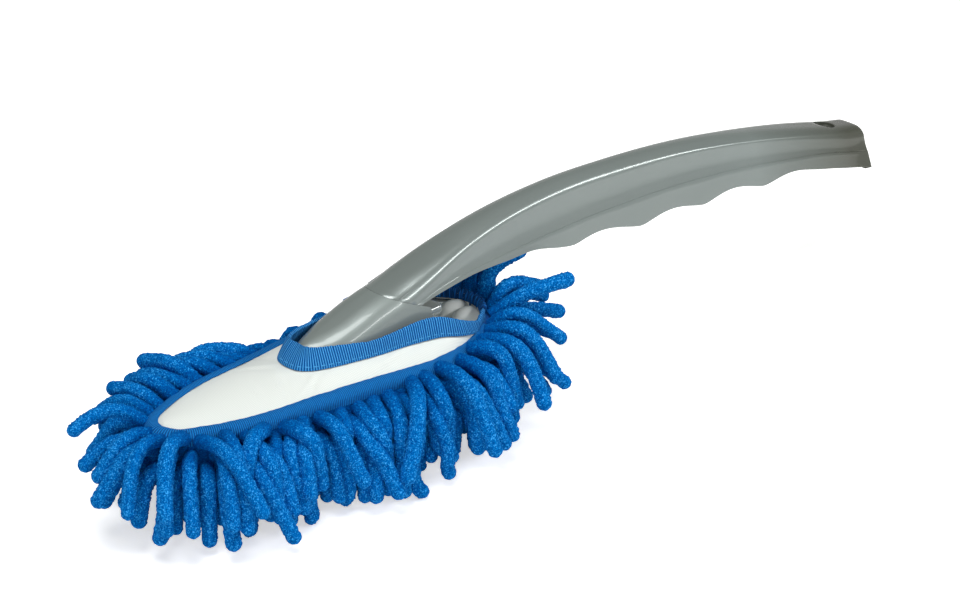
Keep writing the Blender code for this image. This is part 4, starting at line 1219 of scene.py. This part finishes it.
def first_path(curve, share, row, chance):
    """Nodes of one side strand before it settles: out of the band at a random slant, then bending down."""
    drop, length = ROWS[row]
    spread = read_shares(SPREAD_SHARES, share % 1) * ROW_SPREADS[row]
    spread = min(max(spread + chance.uniform(-0.3, 0.2) * min(spread * 3, 1), 0), 1.05)
    length *= read_shares(LENGTH_SHARES, share % 1) * chance.triangular(0.68, 1.06, 1.02)
    outward = curve.outward(share, 0.02)
    # Angles in degrees: where the strand heads seen from above, how far it swerves from there to its tip, how
    # steeply it rises at its root and how steeply it hangs at its tip
    stand = read_shares(STAND_SHARES, share % 1) * ROW_STANDS[row]
    tangle = read_shares(TANGLE_SHARES, share % 1)
    turn = math.atan2(outward[1], outward[0]) + math.radians(min(max(chance.gauss(0, 18 * tangle), -36), 36))
    turn += math.radians(read_shares(SWEEP_SHARES, share % 1))
    swerve = math.radians(chance.gauss(0, 26 * tangle))
    rise = math.radians(chance.uniform(-4, 26) + 18 * spread * (row < 2) + chance.uniform(30, 62) * stand)
    hang = math.radians(-86 + 62 * spread + chance.gauss(0, 10) + 70 * stand * chance.random())
    root = curve.point(share) - 0.8 * MM * outward
    lift = read_shares(LIFT_SHARES, share % 1) * ROW_LIFTS[row] * MM
    nodes = [np.array([*root, RIM_HEIGHT - drop + lift + chance.uniform(-0.8, 0.8) * MM])]
    step = length / (STRAND_NODES - 1)
    for k in range(STRAND_NODES - 1):
        along = k / (STRAND_NODES - 2)
        pitch = rise + (hang - rise) * ease(along * (2.1 - 0.9 * spread))
        yaw = turn + swerve * along
        ahead = np.array([math.cos(pitch) * math.cos(yaw), math.cos(pitch) * math.sin(yaw), math.sin(pitch)])
        nodes.append(nodes[-1] + step * ahead)
    return np.array(nodes)


def settle_strands(paths, radii, curve):
    """Lets the strands sink on each other, the head's side and the floor, as soft ropes with fixed roots."""
    start = np.array(paths)
    nodes = start.copy()
    count, length = nodes.shape[:2]
    steps = np.linalg.norm(np.diff(start, axis=1), axis=2)
    radius = np.repeat(np.array(radii), length)
    strand = np.repeat(np.arange(count), length)
    weight = np.tile(np.where(np.arange(length) < 2, 0.0, 1.0), count)
    rim = np.array([curve.point(k / RIM_POINTS) for k in range(RIM_POINTS)])
    outward = np.array([curve.outward(k / RIM_POINTS, 0.004) for k in range(RIM_POINTS)])
    shape = SHAPE_PULL * (1 - SHAPE_PULL_LOST_AT_TIP * np.arange(length) / (length - 1))[None, :, None]
    for turn in range(SETTLING_STEPS):
        nodes[:, 2:, 2] -= FALL_PER_STEP
        nodes[:, 2:] += (start - nodes)[:, 2:] * shape[:, 2:]
        flat = nodes.reshape(-1, 3)
        if turn % STEPS_PER_SEARCH == 0:
            near = ((flat[:, None, :] - flat[None, :, :]) ** 2).sum(2) < NEIGHBOUR_REACH ** 2
            near &= strand[:, None] != strand[None, :]
            first, second = np.nonzero(np.triu(near))
        gap = flat[second] - flat[first]
        far = np.linalg.norm(gap, axis=1) + 1e-9
        push = np.clip((radius[first] + radius[second]) * SOFT_THICKNESS - far, 0, None) * PUSH_SHARE
        push = (push / far)[:, None] * gap
        np.add.at(flat, first, -push * weight[first, None])
        np.add.at(flat, second, push * weight[second, None])
        # Outside of the head's side band, and of the tape above it
        nearest = ((flat[:, None, :2] - rim[None]) ** 2).sum(2).argmin(1)
        outset = ((flat[:, :2] - rim[nearest]) * outward[nearest]).sum(1)
        keep = radius * np.where(flat[:, 2] > RIM_HEIGHT - EDGE_TAPE_DROP - radius, 1.0, 0.55)
        inside = np.clip(keep - outset, 0, None) * weight
        flat[:, :2] += inside[:, None] * outward[nearest]
        nodes = flat.reshape(count, length, 3)
        nodes[:, :, 2] = np.maximum(nodes[:, :, 2], radius.reshape(count, length) * 0.9)
        for _ in range(3):
            for k in range(1, length - 1):
                link = nodes[:, k + 1] - nodes[:, k]
                reach = np.linalg.norm(link, axis=1, keepdims=True) + 1e-9
                nodes[:, k + 1] = nodes[:, k] + link * (steps[:, k:k + 1] / reach)
    return nodes


def smooth_path(nodes, rings):
    """Reads a smooth curve through a strand's nodes."""
    soft = nodes.copy()
    soft[1:-1] = (nodes[:-2] + 2 * nodes[1:-1] + nodes[2:]) / 4
    places = np.linspace(0, len(soft) - 1, rings)
    slopes = np.gradient(soft, axis=0)
    low = np.clip(places.astype(int), 0, len(soft) - 2)
    t = (places - low)[:, None]
    from_start = (2 * t ** 3 - 3 * t ** 2 + 1) * soft[low] + (t ** 3 - 2 * t ** 2 + t) * slopes[low]
    return from_start + (3 * t ** 2 - 2 * t ** 3) * soft[low + 1] + (t ** 3 - t ** 2) * slopes[low + 1]


class MOP_OT_side_pile(bpy.types.Operator):
    """Chenille strands round the side of the head, in six sectors with their backing"""

    bl_idname = "mop.side_pile"
    bl_label = "Side strands"

    def execute(self, context):
        sizes, colours = context.scene.hand_mop_sizes, context.scene.hand_mop_colours
        finish = chenille_pile("microfibre chenille", colours.pile)
        chance = random.Random(SEED)
        curve = rim_curve(BAND_OUTSET)
        gap = SECTOR_GAP / curve.length
        paths, radii, kinds = [], [], []
        for sector, (name, start, end) in enumerate(SECTORS):
            count = round((end - start) * sizes.strands_per_row)
            for row in range(len(ROWS)):
                for k in range(count):
                    share = start + (end - start) * (k + 0.5 + 0.24 * (-1) ** row) / count
                    share += chance.uniform(-0.22, 0.22) * (end - start) / count
                    paths.append(first_path(curve, share, row, chance))
                    radii.append(sizes.strand_diameter / 2 * chance.uniform(0.9, 1.06))
                    kinds.append((sector, row))
        settled = settle_strands(paths, radii, curve)
        for sector, (name, start, end) in enumerate(SECTORS):
            strands = [tube(smooth_path(nodes, STRAND_RINGS), radius, RING_POINTS, row)
                       for nodes, radius, (part, row) in zip(settled, radii, kinds) if part == sector]
            piece = pile_mesh("pile_" + name, strands, RING_POINTS, band_slice(curve, start + gap, end - gap))
            settle(piece, finish, replaces=["strands_" + name])
        return {"FINISHED"}


class MOP_OT_sole(bpy.types.Operator):
    """Sole under the head: three slices of backing with strands down to the floor, and the foam above them"""

    bl_idname = "mop.sole"
    bl_label = "Sole and foam"

    def execute(self, context):
        sizes, colours = context.scene.hand_mop_sizes, context.scene.hand_mop_colours
        finish = chenille_pile("microfibre chenille, sole", colours.pile)
        chance = random.Random(SEED + 1)
        outset = BAND_OUTSET - BAND - 2 * GAP
        curve = rim_curve(outset)
        low, high = RIM_HEIGHT - SOLE_DROP - SOLE, RIM_HEIGHT - SOLE_DROP
        margin = sizes.strand_diameter / 2
        for name, start, end in SOLE_CUTS:
            x_from = -outset if start == 0 else RIM_LENGTH * start + GAP / 2
            x_to = RIM_LENGTH + outset if end == 1 else RIM_LENGTH * end - GAP / 2
            columns = int((x_to - x_from - 2 * margin) / (sizes.sole_pitch * COLUMN_SHARE))
            strands = []
            for i in range(columns + 1):
                x = x_from + margin + i * (x_to - x_from - 2 * margin) / columns
                half = min(curve.half_width(x - margin), curve.half_width(x + margin)) - margin
                if half < 0:
                    continue
                count = int(2 * half / sizes.sole_pitch)
                for j in range(count + 1):
                    y = (j - count / 2) * sizes.sole_pitch
                    radius = margin * chance.uniform(0.92, 1.04)
                    root = np.array([x, y, (low + high) / 2])
                    tip = np.array([x + chance.uniform(-SOLE_SWAY, SOLE_SWAY),
                                    y + chance.uniform(-SOLE_SWAY, SOLE_SWAY),
                                    chance.uniform(0.3, 1.2) * MM])
                    steps = np.linspace(0, 1, SOLE_RINGS)[:, None]
                    strands.append(tube(root + (tip - root) * steps, radius, SOLE_RING_POINTS, x))
            piece = pile_mesh("sole_" + name + "_pile", strands, SOLE_RING_POINTS,
                              self.slab(curve, x_from, x_to, low, high))
            settle(piece, finish, replaces=["sole_" + name])
        self.foam()
        return {"FINISHED"}

    @staticmethod
    def slab(curve, x_from, x_to, low, high, stations=16):
        """Slice of the boat-shaped sole backing, as rings of four points."""
        coords = []
        for i in range(stations + 1):
            x = x_from + (x_to - x_from) * (1 - math.cos(math.pi * i / stations)) / 2
            half = max(curve.half_width(x), 0.05 * MM)
            coords += [(x, -half, low), (x, -half, high), (x, half, high), (x, half, low)]
        return coords

    @staticmethod
    def foam():
        """Foam pad between plate and sole, with rounded edges, a little fuller in its middle."""
        outset = PLATE_OUTSET - 0.6 * MM
        curve = rim_curve(outset)
        low, high = RIM_HEIGHT - SOLE_DROP + GAP, RIM_HEIGHT - PLATE_DEPTH - GAP
        middle, half_depth = (low + high) / 2, (high - low) / 2

        def place(u, v):
            x = curve.left[0][0] + (RIM_LENGTH + 2 * outset) * (1 - math.cos(math.pi * u)) / 2
            turn = 2 * math.pi * v
            width = math.copysign(abs(math.cos(turn)) ** 0.35, math.cos(turn))
            depth = math.copysign(abs(math.sin(turn)) ** 0.35, math.sin(turn))
            taper = math.sin(math.pi * min(max(u, 0), 1)) ** 0.3
            return x, curve.half_width(x) * width, middle + half_depth * depth * taper

        pad = bend_grid("foam_core", 48, 40, place)
        tidy_mesh(pad, 0.02 * MM)
        smooth(pad, 60)
        finish = open_cell_foam("open-cell polyurethane foam", linear("#ece4c9"), linear("#c9bd98"))
        settle(pad, finish, replaces=["foam_pad"])


# Stage

# The camera looks from the photograph's side; its place is counted from the tip of the rim
CAMERA_PLACE = Vector((-0.4496, -0.6593, 0.4337))
CAMERA_TURN = (math.radians(64), 0, math.radians(-42.5))
CAMERA_LENS = 94.5
# Lamps: name, place, width, height and power. The long strip lights the handle's corner
LAMPS = (("strip", (0.6, -0.8, 0.7), 1.3, 0.14, 7.0), ("overhead", (-0.3, -0.1, 1.3), 0.7, 0.7, 12.0),
         ("fill", (-1.0, -0.8, 0.45), 0.8, 0.8, 4.8))


class MOP_OT_stage(bpy.types.Operator):
    """Pale floor, soft studio light and the camera at the photograph's viewing angle"""

    bl_idname = "mop.stage"
    bl_label = "Stage"

    def execute(self, context):
        scene = context.scene
        scene.view_settings.view_transform = "Standard"
        deselect()
        bpy.ops.mesh.primitive_plane_add(size=12, location=(0, 0, -0.2 * MM))
        floor = context.object
        floor.name = "floor"
        floor.data.materials.append(self.floor_finish())

        camera = bpy.data.objects.new("camera", bpy.data.cameras.new("camera"))
        scene.collection.objects.link(camera)
        scene.camera = camera
        rim_tip = Vector((SHIFT.x, SHIFT.y, RIM_HEIGHT))
        camera.location = rim_tip + CAMERA_PLACE
        camera.rotation_euler = CAMERA_TURN
        camera.data.lens = CAMERA_LENS
        camera.data.sensor_width = 36
        camera.data.clip_start = 0.01

        self.world(scene)
        aim = Vector((0, 0, 40 * MM))
        for name, place, width, height, power in LAMPS:
            lamp = bpy.data.lights.new(name, "AREA")
            lamp.shape = "RECTANGLE"
            lamp.size = width
            lamp.size_y = height
            lamp.energy = power
            holder = bpy.data.objects.new(name, lamp)
            scene.collection.objects.link(holder)
            holder.location = place
            holder.rotation_euler = (aim - holder.location).to_track_quat("-Z", "Y").to_euler()
        return {"FINISHED"}

    @staticmethod
    def floor_finish():
        """Pale studio floor: white to the camera, keeping the object's soft shadow."""
        made, tree, shader = new_finish("pale studio floor", Base_Color=linear("#f4f4f4"), Roughness=0.9)
        path = add_node(tree, "ShaderNodeLightPath")
        glow = add_node(tree, "ShaderNodeEmission", {"Color": (1, 1, 1, 1), "Strength": 0.55})
        both = add_node(tree, "ShaderNodeAddShader", links={0: shader.outputs[0], 1: glow.outputs[0]})
        add_node(tree, "ShaderNodeMixShader",
                 links={0: path.outputs["Is Camera Ray"], 1: shader.outputs[0], 2: both.outputs[0]},
                 into=tree.nodes["Material Output"].inputs["Surface"])
        return made

    @staticmethod
    def world(scene):
        """Light room, white to the camera and reflected in the handle."""
        world = bpy.data.worlds.new("studio")
        scene.world = world
        world.use_nodes = True
        tree = world.node_tree
        path = add_node(tree, "ShaderNodeLightPath")
        # Light room: bright near the floor, darker towards the ceiling
        up = add_node(tree, "ShaderNodeSeparateXYZ",
                      links={0: add_node(tree, "ShaderNodeTexCoord").outputs["Generated"]}).outputs["Z"]
        room = add_node(tree, "ShaderNodeMapRange",
                        {"From Min": 0.02, "From Max": 0.5, "To Min": 0.46, "To Max": 0.14},
                        {"Value": up}).outputs["Result"]
        strength = add_node(tree, "ShaderNodeMath", {"operation": "MAXIMUM"},
                            {0: path.outputs["Is Camera Ray"], 1: room})
        background = tree.nodes["Background"]
        add_node(tree, "ShaderNodeValToRGB", {"stops": ((0.1, linear("#ffffff")), (0.5, linear("#eef5e6")))},
                 {"Fac": up}, into=background.inputs["Color"])
        tree.links.new(strength.outputs[0], background.inputs["Strength"])


class MOP_PT_panel(bpy.types.Panel):
    """Lists the sizes, the colours and the steps that build the mop"""

    bl_idname = "MOP_PT_panel"
    bl_label = "Hand mop"
    bl_space_type = "VIEW_3D"
    bl_region_type = "UI"
    bl_category = "Hand mop"

    def draw(self, context):
        for group in (context.scene.hand_mop_sizes, context.scene.hand_mop_colours):
            box = self.layout.box()
            for name in group.__annotations__:
                box.prop(group, name)
        for operator in OPERATORS:
            self.layout.operator(operator.bl_idname)


OPERATORS = (MOP_OT_stage, MOP_OT_handle, MOP_OT_neck, MOP_OT_tongue, MOP_OT_plate, MOP_OT_white_top,
             MOP_OT_tapes, MOP_OT_side_pile, MOP_OT_sole)
CLASSES = (HandMopSizes, HandMopColours, *OPERATORS, MOP_PT_panel)


def register():
    for item in CLASSES:
        bpy.utils.register_class(item)
    bpy.types.Scene.hand_mop_sizes = bpy.props.PointerProperty(type=HandMopSizes)
    bpy.types.Scene.hand_mop_colours = bpy.props.PointerProperty(type=HandMopColours)


def unregister():
    del bpy.types.Scene.hand_mop_sizes
    del bpy.types.Scene.hand_mop_colours
    for item in reversed(CLASSES):
        bpy.utils.unregister_class(item)


def main():
    register()
    bpy.ops.mop.stage()
    bpy.ops.mop.handle()
    bpy.ops.mop.neck()
    bpy.ops.mop.tongue()
    bpy.ops.mop.plate()
    bpy.ops.mop.white_top()
    bpy.ops.mop.tapes()
    bpy.ops.mop.side_pile()
    bpy.ops.mop.sole()


if __name__ == "__main__":
    main()
